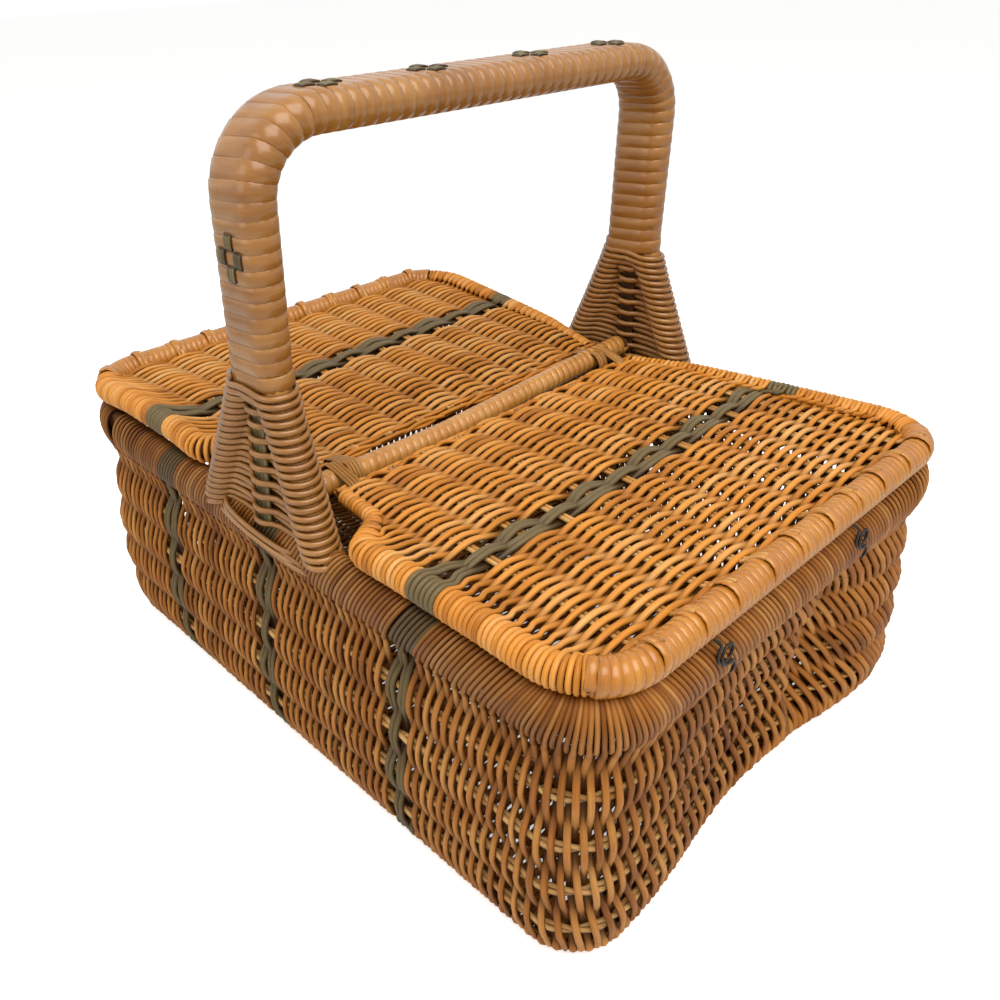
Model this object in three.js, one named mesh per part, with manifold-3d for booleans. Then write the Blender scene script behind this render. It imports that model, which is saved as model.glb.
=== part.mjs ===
// Picnic basket of woven cane with two lids on one hinge bar and a lashed handle over the middle.
// Millimetres, +Z up, origin on the floor under the middle. X runs along the basket from lid to
// lid, Y across it, and the handle stands over X = 0 with a leg on each long side.

import * as THREE from 'three'
import { mergeVertices } from 'three/addons/utils/BufferGeometryUtils.js'
import Module from 'manifold-3d'

const wasm = await Module()
wasm.setup()

// Plan and height of the basket, on the centreline of the wrapped rim
const RIM_LENGTH = 417
const RIM_WIDTH = 290
const RIM_CORNER = 32
const RIM_TOP = 157.5
const RIM_DEPTH = 26.5
const RIM_THICKNESS = 13

// The woven body: its base, its skin, and the hoops that the skin swells over
const BASE_LENGTH = 424
const BASE_WIDTH = 306
const BASE_EDGE = 9
const SIDE_BELLY = 6
const END_DENT = 16
const END_DENT_WIDTH = 236
const SKIN = 3
const HOOP_COUNT = 4
const HOOP_DIAMETER = 4.4
const HOOP_PITCH = 27
const HOOP_SWELL = 3
const FLOOR_STAKES = 7
const FLOOR_STAKE_PITCH = 38

// The handle: two rods side by side that part into an A over each long side
const HANDLE_TOP = 342
const HANDLE_BEND = 33
const HANDLE_INSET = 5.5
const HANDLE_ROD = 15.4
const HANDLE_ROD_GAP = 2.9
const SPLIT_HEIGHT = 239
const FOOT_SPREAD = 42
const FOOT_INSET = 1.2
const SPREAD_EASE = 10
const STEM_TOP_WIDTH = 7
const STEM_FOOT_WIDTH = 14
const STEM_THICKNESS = 5
const STEM_BELOW_SPLIT = 14

// Flat cane lapped round the handle, and round cane lashed round the legs
const LAPPING_RUNS = ['front', 'top', 'back']
const LAPPING_LOOPS = 22
const LAPPING_WIDTH = 6.2
const LAPPING_THICKNESS = 1.2
const LASHING_LOOPS = 14
const LASHING_CANE = 2.9

// The hinge bar a little above the rim, and the loops that tie each lid's edge rod to it
const BAR_DIAMETER = 14
const BAR_RISE = 3.5
const EDGE_ROD = 5
const EDGE_ROD_RISE = 1
const LOOP_THICKNESS = 1.6
const LOOP_WIDTH = 5
const LOOP_PLACE = { right: 108, left: 100 }

// The lids: a wrapped rod all round, thinner where it is cut back to pass the handle's legs
const LID_ROD = 16
const LID_NOTCH_ROD = 9
const LID_NOTCH_Y = { hinge: 117, knee: 123 }
const LID_NOTCH_X = { knee: 52, shoulder: 70 }
const LID_STAKES = 10
const LID_STAKE_PITCH = 24.7
const LID_STAKE_SHIFT = 2
const LID_STAKE = 4.4
const LID_SKIN = 3

// Iron wire curls on the rim of the right-hand end
const WIRE = 1.2
const CURL_RADIUS = 4
const CURL_TURNS = 1.5
const CURL_PLACES = [-73, 45]
const CURL_TAIL = 14

// Clearances
const SEAT = 0.3
const TURNING = 0.5
const LASHING_EASE = 0.6
const NOTCH_EASE = 0.8

const rimBottom = RIM_TOP - RIM_DEPTH
const wallTop = rimBottom - SEAT
const rodRadius = HANDLE_ROD / 2
const rodX = rodRadius + HANDLE_ROD_GAP / 2
const handleY = RIM_WIDTH / 2 - HANDLE_INSET
const footY = RIM_WIDTH / 2 - FOOT_INSET
const barRadius = BAR_DIAMETER / 2
const barHeight = RIM_TOP + BAR_RISE
const lidRodRadius = LID_ROD / 2
const lidHeight = RIM_TOP + SEAT + lidRodRadius
const { PI, cos, sin, sqrt, abs, min, max } = Math

const cane = (color, roughness) => new THREE.MeshStandardMaterial({ color, roughness, metalness: 0 })
const materials = {
  wall: cane('#a8703a', 0.62),
  rim: cane('#b58a56', 0.55),
  lid: cane('#cf8a3f', 0.55),
  lidRod: cane('#cc8434', 0.38),
  stake: cane('#b9823f', 0.6),
  handle: cane('#c99a5f', 0.4),
  lashing: cane('#c08f55', 0.5),
  dark: cane('#4d4634', 0.6),
  bar: cane('#b98a5a', 0.4),
  iron: new THREE.MeshStandardMaterial({ color: '#26262a', roughness: 0.4, metalness: 0.9 }),
}

// Geometry helpers

// A closed body through rings of equal length, capped at both ends or joined end to end
function skinned(rings, joined = false) {
  const count = rings[0].length
  const points = rings.flat()
  const index = []
  const bands = joined ? rings.length : rings.length - 1
  for (let i = 0; i < bands; i++) {
    const a = i * count
    const b = ((i + 1) % rings.length) * count
    for (let k = 0; k < count; k++) {
      const n = (k + 1) % count
      index.push(a + k, a + n, b + n, a + k, b + n, b + k)
    }
  }
  if (!joined) {
    cap(points, index, 0, count, true)
    cap(points, index, (rings.length - 1) * count, count, false)
  }
  const geometry = new THREE.BufferGeometry().setFromPoints(points)
  geometry.setIndex(volume(points, index) < 0 ? index.reverse() : index)
  geometry.computeVertexNormals()
  return geometry
}

// A fan from the middle of the ring that starts at first
function cap(points, index, first, count, opens) {
  const middle = new THREE.Vector3()
  for (let k = 0; k < count; k++) middle.addScaledVector(points[first + k], 1 / count)
  const centre = points.push(middle) - 1
  for (let k = 0; k < count; k++) {
    const n = first + ((k + 1) % count)
    index.push(...(opens ? [centre, n, first + k] : [centre, first + k, n]))
  }
}

function volume(points, index) {
  let sum = 0
  for (let i = 0; i < index.length; i += 3) {
    const [a, b, c] = [points[index[i]], points[index[i + 1]], points[index[i + 2]]]
    sum += a.dot(new THREE.Vector3().crossVectors(b, c)) / 6
  }
  return sum
}

// A rod along points, its section turned so that one axis keeps to the direction side
function rod(points, radiusAt, sides, side) {
  const rings = points.map((p, i) => {
    const before = points[max(i - 1, 0)]
    const after = points[min(i + 1, points.length - 1)]
    const along = after.clone().sub(before).normalize()
    const u = side.clone().addScaledVector(along, -side.dot(along)).normalize()
    const v = new THREE.Vector3().crossVectors(along, u)
    const radius = radiusAt(p)
    return Array.from({ length: sides }, (_, k) => {
      const angle = (k * 2 * PI) / sides
      return p.clone().addScaledVector(u, radius * cos(angle)).addScaledVector(v, radius * sin(angle))
    })
  })
  return skinned(rings)
}

// Points of a flat route with each inner corner rounded by an arc that starts reach before it
function rounded(corners, reaches, steps) {
  const route = [corners[0]]
  for (let i = 1; i < corners.length - 1; i++) {
    const into = corners[i].clone().sub(corners[i - 1]).normalize()
    const out = corners[i + 1].clone().sub(corners[i]).normalize()
    const turn = Math.atan2(into.x * out.y - into.y * out.x, into.dot(out))
    const radius = reaches[i - 1] / Math.tan(turn / 2)
    const start = corners[i].clone().addScaledVector(into, -reaches[i - 1])
    const centre = start.clone().add(new THREE.Vector2(-into.y, into.x).multiplyScalar(radius))
    for (let k = 0; k <= steps; k++) route.push(start.clone().rotateAround(centre, (turn * k) / steps))
  }
  route.push(corners.at(-1))
  return route
}

// A strand wound in one unbroken tube: at(step, along, out) is a point of the wrapped surface
function winding({ loops, steps, start, pitch, section, at }) {
  const rings = []
  for (let j = 0; j <= loops * steps; j++) {
    const along = start + (j * pitch) / steps
    rings.push(section.map(([across, out]) => at(j % steps, along + across, out)))
  }
  return rings
}

// The least distance between a strand's surface and the same strand one turn on
function leastGap(rings, steps) {
  let least = Infinity
  const middle = new THREE.Vector3()
  for (let i = 0; i + steps - 2 < rings.length; i++) {
    for (let j = i + steps - 2; j < min(i + steps + 3, rings.length - 1); j++) {
      for (const p of rings[i]) {
        rings[j].forEach((q, k) => {
          middle.addVectors(q, rings[j + 1][k]).multiplyScalar(0.5)
          least = min(least, p.distanceTo(q), p.distanceTo(middle))
        })
      }
    }
  }
  return least
}

function toSolid(geometry) {
  const bare = geometry.clone()
  bare.deleteAttribute('normal')
  bare.deleteAttribute('uv')
  const merged = mergeVertices(bare, 1e-4)
  const vertProperties = new Float32Array(merged.attributes.position.array)
  const triVerts = new Uint32Array(merged.index.array)
  return new wasm.Manifold(new wasm.Mesh({ numProp: 3, vertProperties, triVerts }))
}

function cut(geometry, tool) {
  const mesh = toSolid(geometry).subtract(toSolid(tool)).getMesh()
  const result = new THREE.BufferGeometry()
  result.setAttribute('position', new THREE.BufferAttribute(new Float32Array(mesh.vertProperties), 3))
  result.setIndex([...mesh.triVerts])
  result.computeVertexNormals()
  return result
}

const group = new THREE.Group()

function add(name, geometry, material) {
  const mesh = new THREE.Mesh(geometry, material)
  mesh.name = name
  group.add(mesh)
  return mesh
}

// Plan of the basket: a rounded rectangle met at the same stations at every height

const CORNER_STEPS = 4
const LONG_STEPS = 4
const END_STEPS = 8

function plan(halfLength, halfWidth, radius) {
  const stations = []
  const centres = [[1, -1], [1, 1], [-1, 1], [-1, -1]]
  centres.forEach(([sx, sy], corner) => {
    const cx = sx * (halfLength - radius)
    const cy = sy * (halfWidth - radius)
    for (let k = 0; k <= CORNER_STEPS; k++) {
      const angle = ((corner - 1) * PI) / 2 + (k * PI) / 2 / CORNER_STEPS
      stations.push({ x: cx + radius * cos(angle), y: cy + radius * sin(angle), nx: cos(angle), ny: sin(angle) })
    }
    const last = stations.at(-1)
    const steps = corner % 2 ? LONG_STEPS : END_STEPS
    const run = corner % 2 ? -2 * sx * (halfLength - radius) : -2 * sy * (halfWidth - radius)
    for (let k = 1; k < steps; k++) {
      const move = (run * k) / steps
      stations.push({ ...last, x: last.x + (corner % 2 ? move : 0), y: last.y + (corner % 2 ? 0 : move) })
    }
  })
  return stations
}

// How far the right-hand end is pushed in
function dent(y, z) {
  const across = min(abs(y) / (END_DENT_WIDTH / 2), 1)
  const up = sin((PI * (z + rimBottom * 0.3)) / (rimBottom * 1.3))
  return END_DENT * (0.5 + 0.5 * cos(PI * across)) * max(up, 0)
}

// A ring of points round the wall at height z, out millimetres outside its outer face
function wallRing(z, out) {
  const rise = z / rimBottom
  const halfLength = BASE_LENGTH / 2 + (RIM_LENGTH + SKIN - BASE_LENGTH) / 2 * rise + out
  const belly = SIDE_BELLY * sin(PI * min(rise, 1))
  const halfWidth = BASE_WIDTH / 2 + (RIM_WIDTH + SKIN - BASE_WIDTH) / 2 * rise + belly + out
  return plan(halfLength, halfWidth, RIM_CORNER + out).map(({ x, y, nx }) => {
    const pushed = nx > 0 ? dent(y, z) * nx : 0
    return new THREE.Vector3(x - pushed, y, z)
  })
}

const hoopHeights = Array.from({ length: HOOP_COUNT }, (_, i) => (i + 1) * HOOP_PITCH)

// The woven skin: walls and floor in one, swelling out over each hoop
function wovenBody() {
  const levels = [[(HOOP_PITCH + BASE_EDGE) / 2, 0]]
  hoopHeights.forEach((z, i) => {
    const above = i + 1 < HOOP_COUNT ? hoopHeights[i + 1] : wallTop
    levels.push([z, HOOP_SWELL], [(z + above) / 2, i + 1 < HOOP_COUNT ? 0 : HOOP_SWELL / 2])
  })
  levels.push([wallTop, 0])
  const edge = [90, 45, 0].map((degrees) => {
    const angle = (degrees * PI) / 180
    return [BASE_EDGE * (1 - sin(angle)), -BASE_EDGE * (1 - cos(angle))]
  })
  const outer = [...edge, ...levels].map(([z, out]) => wallRing(z, out))
  const inner = levels.toReversed().map(([z, out]) => wallRing(z, out - SKIN))
  const floor = wallRing(SKIN, -SKIN - BASE_EDGE)
  return skinned([...outer, ...inner, floor])
}

function wallHoop(z) {
  const radius = HOOP_DIAMETER / 2
  const middle = HOOP_SWELL - SKIN - SEAT - radius
  const sides = 5
  const rings = Array.from({ length: sides }, (_, k) => {
    const angle = (k * 2 * PI) / sides
    return wallRing(z, middle + radius * cos(angle)).map((p) => p.setZ(z + radius * sin(angle)))
  })
  const count = rings[0].length
  return skinned(Array.from({ length: count }, (_, i) => rings.map((ring) => ring[i])), true)
}

// A floor stake lies on the floor skin and stops short of the end walls
function floorStake(y) {
  const radius = HOOP_DIAMETER / 2
  const z = SKIN + SEAT + radius
  const reach = BASE_LENGTH / 2 - SKIN - BASE_EDGE - 1
  const ends = [-reach, reach - dent(y, z)]
  const points = ends.map((x) => new THREE.Vector3(x, y, z))
  return rod(points, () => radius, 6, new THREE.Vector3(0, 0, 1))
}

// The rim: rounded over the top, flat below where the wall meets it
function rim(grow = 0) {
  const half = RIM_THICKNESS / 2 + grow
  const top = RIM_TOP + grow
  const bottom = rimBottom - grow
  const section = [
    [-half * 0.55, bottom], [half * 0.55, bottom], [half, bottom + 4], [half, top - 8],
    [half * 0.72, top - 2.6], [0, top], [-half * 0.72, top - 2.6], [-half, top - 8], [-half, bottom + 4],
  ]
  const rings = plan(RIM_LENGTH / 2, RIM_WIDTH / 2, RIM_CORNER).map(({ x, y, nx, ny }) => {
    return section.map(([out, z]) => new THREE.Vector3(x + nx * out, y + ny * out, z))
  })
  return skinned(rings, true)
}

const rimSeat = rim(SEAT)

// Where a leg stands: its distance from the middle plane, and how far its rods have parted

function legY(z) {
  const up = min((z - RIM_TOP) / (SPLIT_HEIGHT - RIM_TOP), 1)
  return footY + (handleY - footY) * up
}

function spread(z) {
  const eased = (h) => (h * h) / (h + SPREAD_EASE)
  const below = max(SPLIT_HEIGHT - z, 0)
  return rodX + ((FOOT_SPREAD - rodX) * eased(below)) / eased(SPLIT_HEIGHT - RIM_TOP)
}

// The handle's route above the split, in the plane of Y and Z, from the front leg to the back one
const grip = new THREE.Path()
grip.moveTo(-handleY, SPLIT_HEIGHT)
grip.lineTo(-handleY, HANDLE_TOP - HANDLE_BEND)
grip.absarc(-handleY + HANDLE_BEND, HANDLE_TOP - HANDLE_BEND, HANDLE_BEND, PI, PI / 2, true)
grip.lineTo(handleY - HANDLE_BEND, HANDLE_TOP)
grip.absarc(handleY - HANDLE_BEND, HANDLE_TOP - HANDLE_BEND, HANDLE_BEND, PI / 2, 0, true)
grip.lineTo(handleY, SPLIT_HEIGHT)
const gripLength = grip.getLength()

function handleRod(sideX) {
  const legSteps = 9
  const bendSteps = 6
  const footZ = rimBottom + RIM_DEPTH * 0.6
  const leg = []
  for (let k = 0; k <= legSteps; k++) {
    const z = footZ + ((SPLIT_HEIGHT - footZ) * k) / legSteps
    leg.push(new THREE.Vector3(sideX * spread(z), -legY(z), z))
  }
  for (let k = 0; k <= bendSteps; k++) {
    const angle = PI - (k * PI) / 2 / bendSteps
    const y = -handleY + HANDLE_BEND + HANDLE_BEND * cos(angle)
    const z = HANDLE_TOP - HANDLE_BEND + HANDLE_BEND * sin(angle)
    leg.push(new THREE.Vector3(sideX * rodX, y, z))
  }
  const back = leg.toReversed().map((p) => new THREE.Vector3(p.x, -p.y, p.z))
  const whole = rod([...leg, ...back], () => rodRadius, 8, new THREE.Vector3(1, 0, 0))
  return cut(whole, rimSeat)
}

// The flat stem of each leg, between the parted rods
function centreStem(sideY) {
  const topZ = SPLIT_HEIGHT - STEM_BELOW_SPLIT
  const rings = [[rimBottom + RIM_DEPTH / 2, STEM_FOOT_WIDTH], [topZ, STEM_TOP_WIDTH]].map(([z, width]) => {
    const corners = [[-1, -1], [1, -1], [1, 1], [-1, 1]]
    return corners.map(([sx, sy]) => {
      return new THREE.Vector3((sx * width) / 2, sideY * legY(z) + (sy * STEM_THICKNESS) / 2, z)
    })
  })
  return cut(skinned(rings), rimSeat)
}

// The ten stations of a turn round both rods: half a circle round each
const TURN_STEPS = 10

function roundBoth(step, halfGap, radius, stretch = 1) {
  const side = step < 5 ? 1 : -1
  const angle = side > 0 ? -PI / 2 + (step * PI) / 4 : PI / 2 + ((step - 5) * PI) / 4
  return [side * halfGap + radius * stretch * cos(angle), radius * sin(angle)]
}

// One run of flat cane lapped round the handle; the next run starts where it stops
function handleLapping(run, name) {
  const half = LAPPING_WIDTH / 2
  const pitch = (gripLength - LAPPING_WIDTH - 2 * SEAT) / (LAPPING_RUNS.length * LAPPING_LOOPS)
  const inside = rodRadius + SEAT
  const outside = inside + LAPPING_THICKNESS
  const rings = winding({
    loops: LAPPING_LOOPS,
    steps: TURN_STEPS,
    start: half + SEAT + run * LAPPING_LOOPS * pitch,
    pitch,
    section: [[-half, inside], [half, inside], [half, outside], [-half, outside]],
    at: (step, along, out) => {
      const centre = grip.getPointAt(along / gripLength)
      const tangent = grip.getTangentAt(along / gripLength)
      const [x, across] = roundBoth(step, rodX, out)
      return new THREE.Vector3(x, centre.x - tangent.y * across, centre.y + tangent.x * across)
    },
  })
  const [before, last] = rings.slice(-2)
  last.forEach((p, k) => p.lerp(before[k], (2 * SEAT) / p.distanceTo(before[k])))
  console.log(`${name}: least gap to itself ${leastGap(rings, TURN_STEPS).toFixed(2)} mm`)
  return skinned(rings)
}

// Round cane lashed round the parted rods of one leg, from above the hinge bar up to the split
function legLashing(sideY, name) {
  const half = LASHING_CANE / 2
  const low = barHeight + barRadius + SEAT + half
  const high = SPLIT_HEIGHT - half
  const inside = rodRadius + LASHING_EASE
  const tilt = Math.atan((spread(low) - spread(high)) / (high - low))
  const rings = winding({
    loops: LASHING_LOOPS,
    steps: TURN_STEPS,
    start: low,
    pitch: (high - low) / LASHING_LOOPS,
    section: [[0, inside], [half, inside + half], [0, inside + 2 * half], [-half, inside + half]],
    at: (step, z, out) => {
      const [x, across] = roundBoth(step, spread(z), out, 1 / cos(tilt))
      return new THREE.Vector3(x, sideY * legY(z) + across, z)
    },
  })
  console.log(`${name}: least gap to itself ${leastGap(rings, TURN_STEPS).toFixed(2)} mm`)
  return skinned(rings)
}

// The bar crosses from leg to leg, bedded in the rim at both ends
function hingeBar() {
  const reach = legY(barHeight + barRadius) - STEM_THICKNESS / 2 - SEAT
  const ends = [-reach, reach].map((y) => new THREE.Vector3(0, y, barHeight))
  return cut(rod(ends, () => barRadius, 16, new THREE.Vector3(0, 0, 1)), rimSeat)
}

// A lid is drawn on the right (side 1) and mirrored in X for the left (side -1)

const loopRadius = barRadius + TURNING
const edgeRadius = EDGE_ROD / 2
const edgeReach = loopRadius + LOOP_THICKNESS + SEAT + edgeRadius
const edgeX = sqrt(edgeReach ** 2 - EDGE_ROD_RISE ** 2)
const edgeZ = barHeight + EDGE_ROD_RISE
const frameStartX = edgeX + edgeRadius + SEAT + NOTCH_EASE
const panelStartX = edgeX + edgeRadius + SEAT + LOOP_THICKNESS + SEAT

// The lid lies a little lower at the hinge than on the rim
function lidZ(x) {
  const out = min(max((x - edgeX) / (LID_NOTCH_X.knee - edgeX), 0), 1)
  return edgeZ + (lidHeight - edgeZ) * out
}

// The lid rod is thin up to the knee, and thickens up to the front shoulder or the back corner
function lidRodRadiusAt(x, y) {
  const thick = y < 0 ? LID_NOTCH_X.shoulder : RIM_LENGTH / 2 - RIM_CORNER
  const out = min(max((x - LID_NOTCH_X.knee) / (thick - LID_NOTCH_X.knee), 0), 1)
  return LID_NOTCH_ROD / 2 + (lidRodRadius - LID_NOTCH_ROD / 2) * out
}

// The lid rod's route on the right, from one end of the edge rod round to the other: cut back
// sharply at the front leg, and running in slantwise to the back one
function lidRodRoute() {
  const { hinge, knee } = LID_NOTCH_Y
  const [endX, sideY] = [RIM_LENGTH / 2, RIM_WIDTH / 2]
  const corners = [
    [frameStartX, -hinge], [LID_NOTCH_X.knee, -knee], [LID_NOTCH_X.shoulder, -sideY],
    [endX, -sideY], [endX, sideY], [LID_NOTCH_X.knee, knee], [frameStartX, hinge],
  ].map(([x, y]) => new THREE.Vector2(x, y))
  return rounded(corners, [7, 7, RIM_CORNER, RIM_CORNER, 7], 4)
}

const lidRoute = lidRodRoute()

// The opening inside the lid rod: its route moved in by the rod's radius and the seat
const lidOpening = lidRoute.map((p, i) => {
  const before = lidRoute[max(i - 1, 0)]
  const after = lidRoute[min(i + 1, lidRoute.length - 1)]
  const along = after.clone().sub(before).normalize()
  const inward = new THREE.Vector2(-along.y, along.x)
  return p.clone().addScaledVector(inward, lidRodRadiusAt(p.x, p.y) + SEAT)
})

// From where to where the opening reaches in X, at the distance y from the middle plane
function lidSpan(y) {
  const crossings = []
  for (let i = 1; i < lidOpening.length; i++) {
    const [a, b] = [lidOpening[i - 1], lidOpening[i]]
    if ((a.y - y) * (b.y - y) > 0 || a.y === b.y) continue
    crossings.push(a.x + ((b.x - a.x) * (y - a.y)) / (b.y - a.y))
  }
  const nearest = crossings.length > 1 ? min(...crossings) : panelStartX
  return [max(nearest, panelStartX), max(...crossings)]
}

// Where a row of the lid is drawn between two ends: it bends where the lid stops sloping
function lidColumns(from, to) {
  return [from, from < LID_NOTCH_X.knee ? LID_NOTCH_X.knee : (from + to) / 2, to]
}

function lidFrame(side) {
  const points = lidRoute.map((p) => new THREE.Vector3(side * p.x, p.y, lidZ(p.x)))
  return rod(points, (p) => lidRodRadiusAt(abs(p.x), p.y), 8, new THREE.Vector3(0, 0, 1))
}

const lidStakeRows = Array.from({ length: LID_STAKES }, (_, i) => {
  return LID_STAKE_SHIFT + (i - (LID_STAKES - 1) / 2) * LID_STAKE_PITCH
})

// How far the lid's skin rises over the nearest stake
function ripple(y) {
  const nearest = lidStakeRows.reduce((a, b) => (abs(b - y) < abs(a - y) ? b : a))
  const away = min(abs(y - nearest) / (LID_STAKE_PITCH / 2), 1)
  return (LID_STAKE / 2 + SEAT + LID_SKIN / 2) * (0.5 + 0.5 * cos(PI * away))
}

// The lid's woven skin, rippled over the stakes that lie under it
function lidPanel(side) {
  const quarter = LID_STAKE_PITCH / 4
  const bends = lidOpening.map((p) => p.y).sort((a, b) => a - b)
  const edge = bends.at(-1) - SEAT / 2
  const rows = [-edge, edge, ...bends.filter((y) => abs(y) < edge - SEAT)]
  const count = Math.ceil((2 * edge) / quarter)
  for (let i = -count; i <= count; i++) {
    const y = lidStakeRows[0] + i * quarter
    if (abs(y) < edge && rows.every((row) => abs(row - y) > quarter / 4)) rows.push(y)
  }
  rows.sort((a, b) => a - b)
  const rings = rows.filter((y, i) => i === 0 || y - rows[i - 1] > 0.01).map((y) => {
    const columns = lidColumns(...lidSpan(y))
    const point = (x, rise) => new THREE.Vector3(side * x, y, lidZ(x) + ripple(y) + rise)
    const top = columns.map((x) => point(x, LID_SKIN / 2))
    const bottom = columns.toReversed().map((x) => point(x, -LID_SKIN / 2))
    return [...top, ...bottom]
  })
  return skinned(rings)
}

function lidStake(side, y) {
  const radius = LID_STAKE / 2
  const [from, to] = lidSpan(y + Math.sign(y) * radius)
  const points = lidColumns(from + SEAT, to - SEAT).map((x) => new THREE.Vector3(side * x, y, lidZ(x)))
  return rod(points, () => radius, 6, new THREE.Vector3(0, 0, 1))
}

function lidEdgeRod(side) {
  const reach = LID_NOTCH_Y.hinge + LID_NOTCH_ROD / 2
  const ends = [-reach, reach].map((y) => new THREE.Vector3(side * edgeX, y, edgeZ))
  return rod(ends, () => edgeRadius, 8, new THREE.Vector3(0, 0, 1))
}

// The outline of a belt round the bar at the origin and round the edge rod beside it
function belt(shape, aroundBar, aroundRod) {
  const lean = Math.acos((aroundBar - aroundRod) / edgeReach)
  shape.absarc(edgeReach, 0, aroundRod, -lean, lean, false)
  shape.absarc(0, 0, aroundBar, lean, 2 * PI - lean, false)
  shape.closePath()
  return shape
}

// A lid hangs on loops of cane that turn on the bar and hold its edge rod
function hingeLoop(side, y) {
  const [bar, edge] = [loopRadius, edgeRadius + SEAT]
  const shape = belt(new THREE.Shape(), bar + LOOP_THICKNESS, edge + LOOP_THICKNESS)
  shape.holes.push(belt(new THREE.Path(), bar, edge))
  const geometry = new THREE.ExtrudeGeometry(shape, { depth: LOOP_WIDTH, bevelEnabled: false, curveSegments: 5 })
  geometry.translate(0, 0, -LOOP_WIDTH / 2)
  geometry.rotateZ(Math.asin(EDGE_ROD_RISE / edgeReach))
  geometry.rotateX(PI / 2)
  if (side < 0) geometry.rotateZ(PI)
  geometry.translate(0, y, barHeight)
  return geometry
}

// An iron wire curled on the rim's outer face, with its tail down the rim
function wireCurl(y) {
  const x = RIM_LENGTH / 2 + RIM_THICKNESS / 2 + SEAT + WIRE / 2
  const middleZ = RIM_TOP - 8 - CURL_RADIUS
  const steps = 8 * CURL_TURNS
  const points = []
  for (let k = 0; k <= steps; k++) {
    const angle = -PI / 2 + (k / steps) * CURL_TURNS * 2 * PI
    const radius = CURL_RADIUS * (0.35 + (0.65 * k) / steps)
    points.push(new THREE.Vector3(x, y + radius * cos(angle), middleZ + radius * sin(angle)))
  }
  const last = points.at(-1)
  points.push(new THREE.Vector3(x, last.y + CURL_RADIUS, last.z - CURL_TAIL))
  return rod(points, () => WIRE / 2, 5, new THREE.Vector3(1, 0, 0))
}

// The basket

add('woven_body', wovenBody(), materials.wall)
hoopHeights.forEach((z, i) => add(`wall_hoop_${i + 1}`, wallHoop(z), materials.stake))
for (let i = 0; i < FLOOR_STAKES; i++) {
  const y = (i - (FLOOR_STAKES - 1) / 2) * FLOOR_STAKE_PITCH
  add(`floor_stake_${i + 1}`, floorStake(y), materials.stake)
}
add('rim_roll', rim(), materials.rim)
add('hinge_bar', hingeBar(), materials.bar)
CURL_PLACES.forEach((y, i) => add(`wire_curl_${i + 1}`, wireCurl(y), materials.iron))

// The handle
add('handle_rod_right', handleRod(1), materials.handle)
add('handle_rod_left', handleRod(-1), materials.handle)
LAPPING_RUNS.forEach((place, i) => {
  const name = `handle_lapping_${place}`
  add(name, handleLapping(i, name), materials.handle)
})
for (const [place, sideY] of [['front', -1], ['back', 1]]) {
  add(`centre_stem_${place}`, centreStem(sideY), materials.dark)
  const name = `leg_lashing_${place}`
  add(name, legLashing(sideY, name), materials.lashing)
}

// The lids
for (const [hand, side] of [['right', 1], ['left', -1]]) {
  add(`${hand}_lid_frame`, lidFrame(side), materials.lidRod)
  add(`${hand}_lid_panel`, lidPanel(side), materials.lid)
  add(`${hand}_lid_edge_rod`, lidEdgeRod(side), materials.lid)
  lidStakeRows.forEach((y, i) => add(`${hand}_lid_stake_${i + 1}`, lidStake(side, y), materials.stake))
  const place = LOOP_PLACE[hand]
  add(`${hand}_hinge_loop_1`, hingeLoop(side, -place), materials.dark)
  add(`${hand}_hinge_loop_2`, hingeLoop(side, place), materials.dark)
}

export default group
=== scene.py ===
import bpy
import numpy as np
from mathutils import Matrix, Vector


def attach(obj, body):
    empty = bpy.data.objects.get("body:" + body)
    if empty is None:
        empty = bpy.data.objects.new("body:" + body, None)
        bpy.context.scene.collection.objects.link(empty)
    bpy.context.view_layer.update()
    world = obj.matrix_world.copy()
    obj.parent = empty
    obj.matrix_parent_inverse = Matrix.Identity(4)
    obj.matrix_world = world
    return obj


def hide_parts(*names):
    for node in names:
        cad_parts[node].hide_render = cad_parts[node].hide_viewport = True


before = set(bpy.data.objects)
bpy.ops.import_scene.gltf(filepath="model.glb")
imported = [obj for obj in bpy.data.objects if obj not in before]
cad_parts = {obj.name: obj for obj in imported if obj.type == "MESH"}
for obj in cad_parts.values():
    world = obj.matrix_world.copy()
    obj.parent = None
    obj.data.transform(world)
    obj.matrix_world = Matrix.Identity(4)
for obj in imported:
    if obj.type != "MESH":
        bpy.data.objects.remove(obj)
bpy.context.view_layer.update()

# Camera, lamps and floor: the view of the photograph, with one wide soft lamp over the basket and
# even light all round, at a level where a colour shows about as it is written. Lengths are metres.

CAMERA_PLACE = (0.3649, -0.3473, 0.4073)
CAMERA_RIGHT = (0.7084, 0.7057, -0.0163)
CAMERA_UP = (-0.3575, 0.3785, 0.8538)
CAMERA_BACK = (0.6086, -0.599, 0.5204)
CAMERA_LENS = 33.863
LAMP_AIM = (0, 0, 0.15)
EVEN_LIGHT = 0.46
FLOOR_SIZE = 12.0
FLOOR_COLOUR = "f4f4f2"
FLOOR_GLOW = 0.56


def colour(code):
    """An sRGB hex colour as linear light: each channel through the sRGB curve."""
    srgb = np.array([int(code[i:i + 2], 16) for i in (0, 2, 4)]) / 255
    linear = np.where(srgb > 0.04045, ((srgb + 0.055) / 1.055) ** 2.4, srgb / 12.92)
    return (*[float(value) for value in linear], 1.0)


def bare_tree(owner):
    """The node tree of a material or a world, emptied."""
    owner.use_nodes = True
    owner.node_tree.nodes.clear()
    return owner.node_tree


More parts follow.
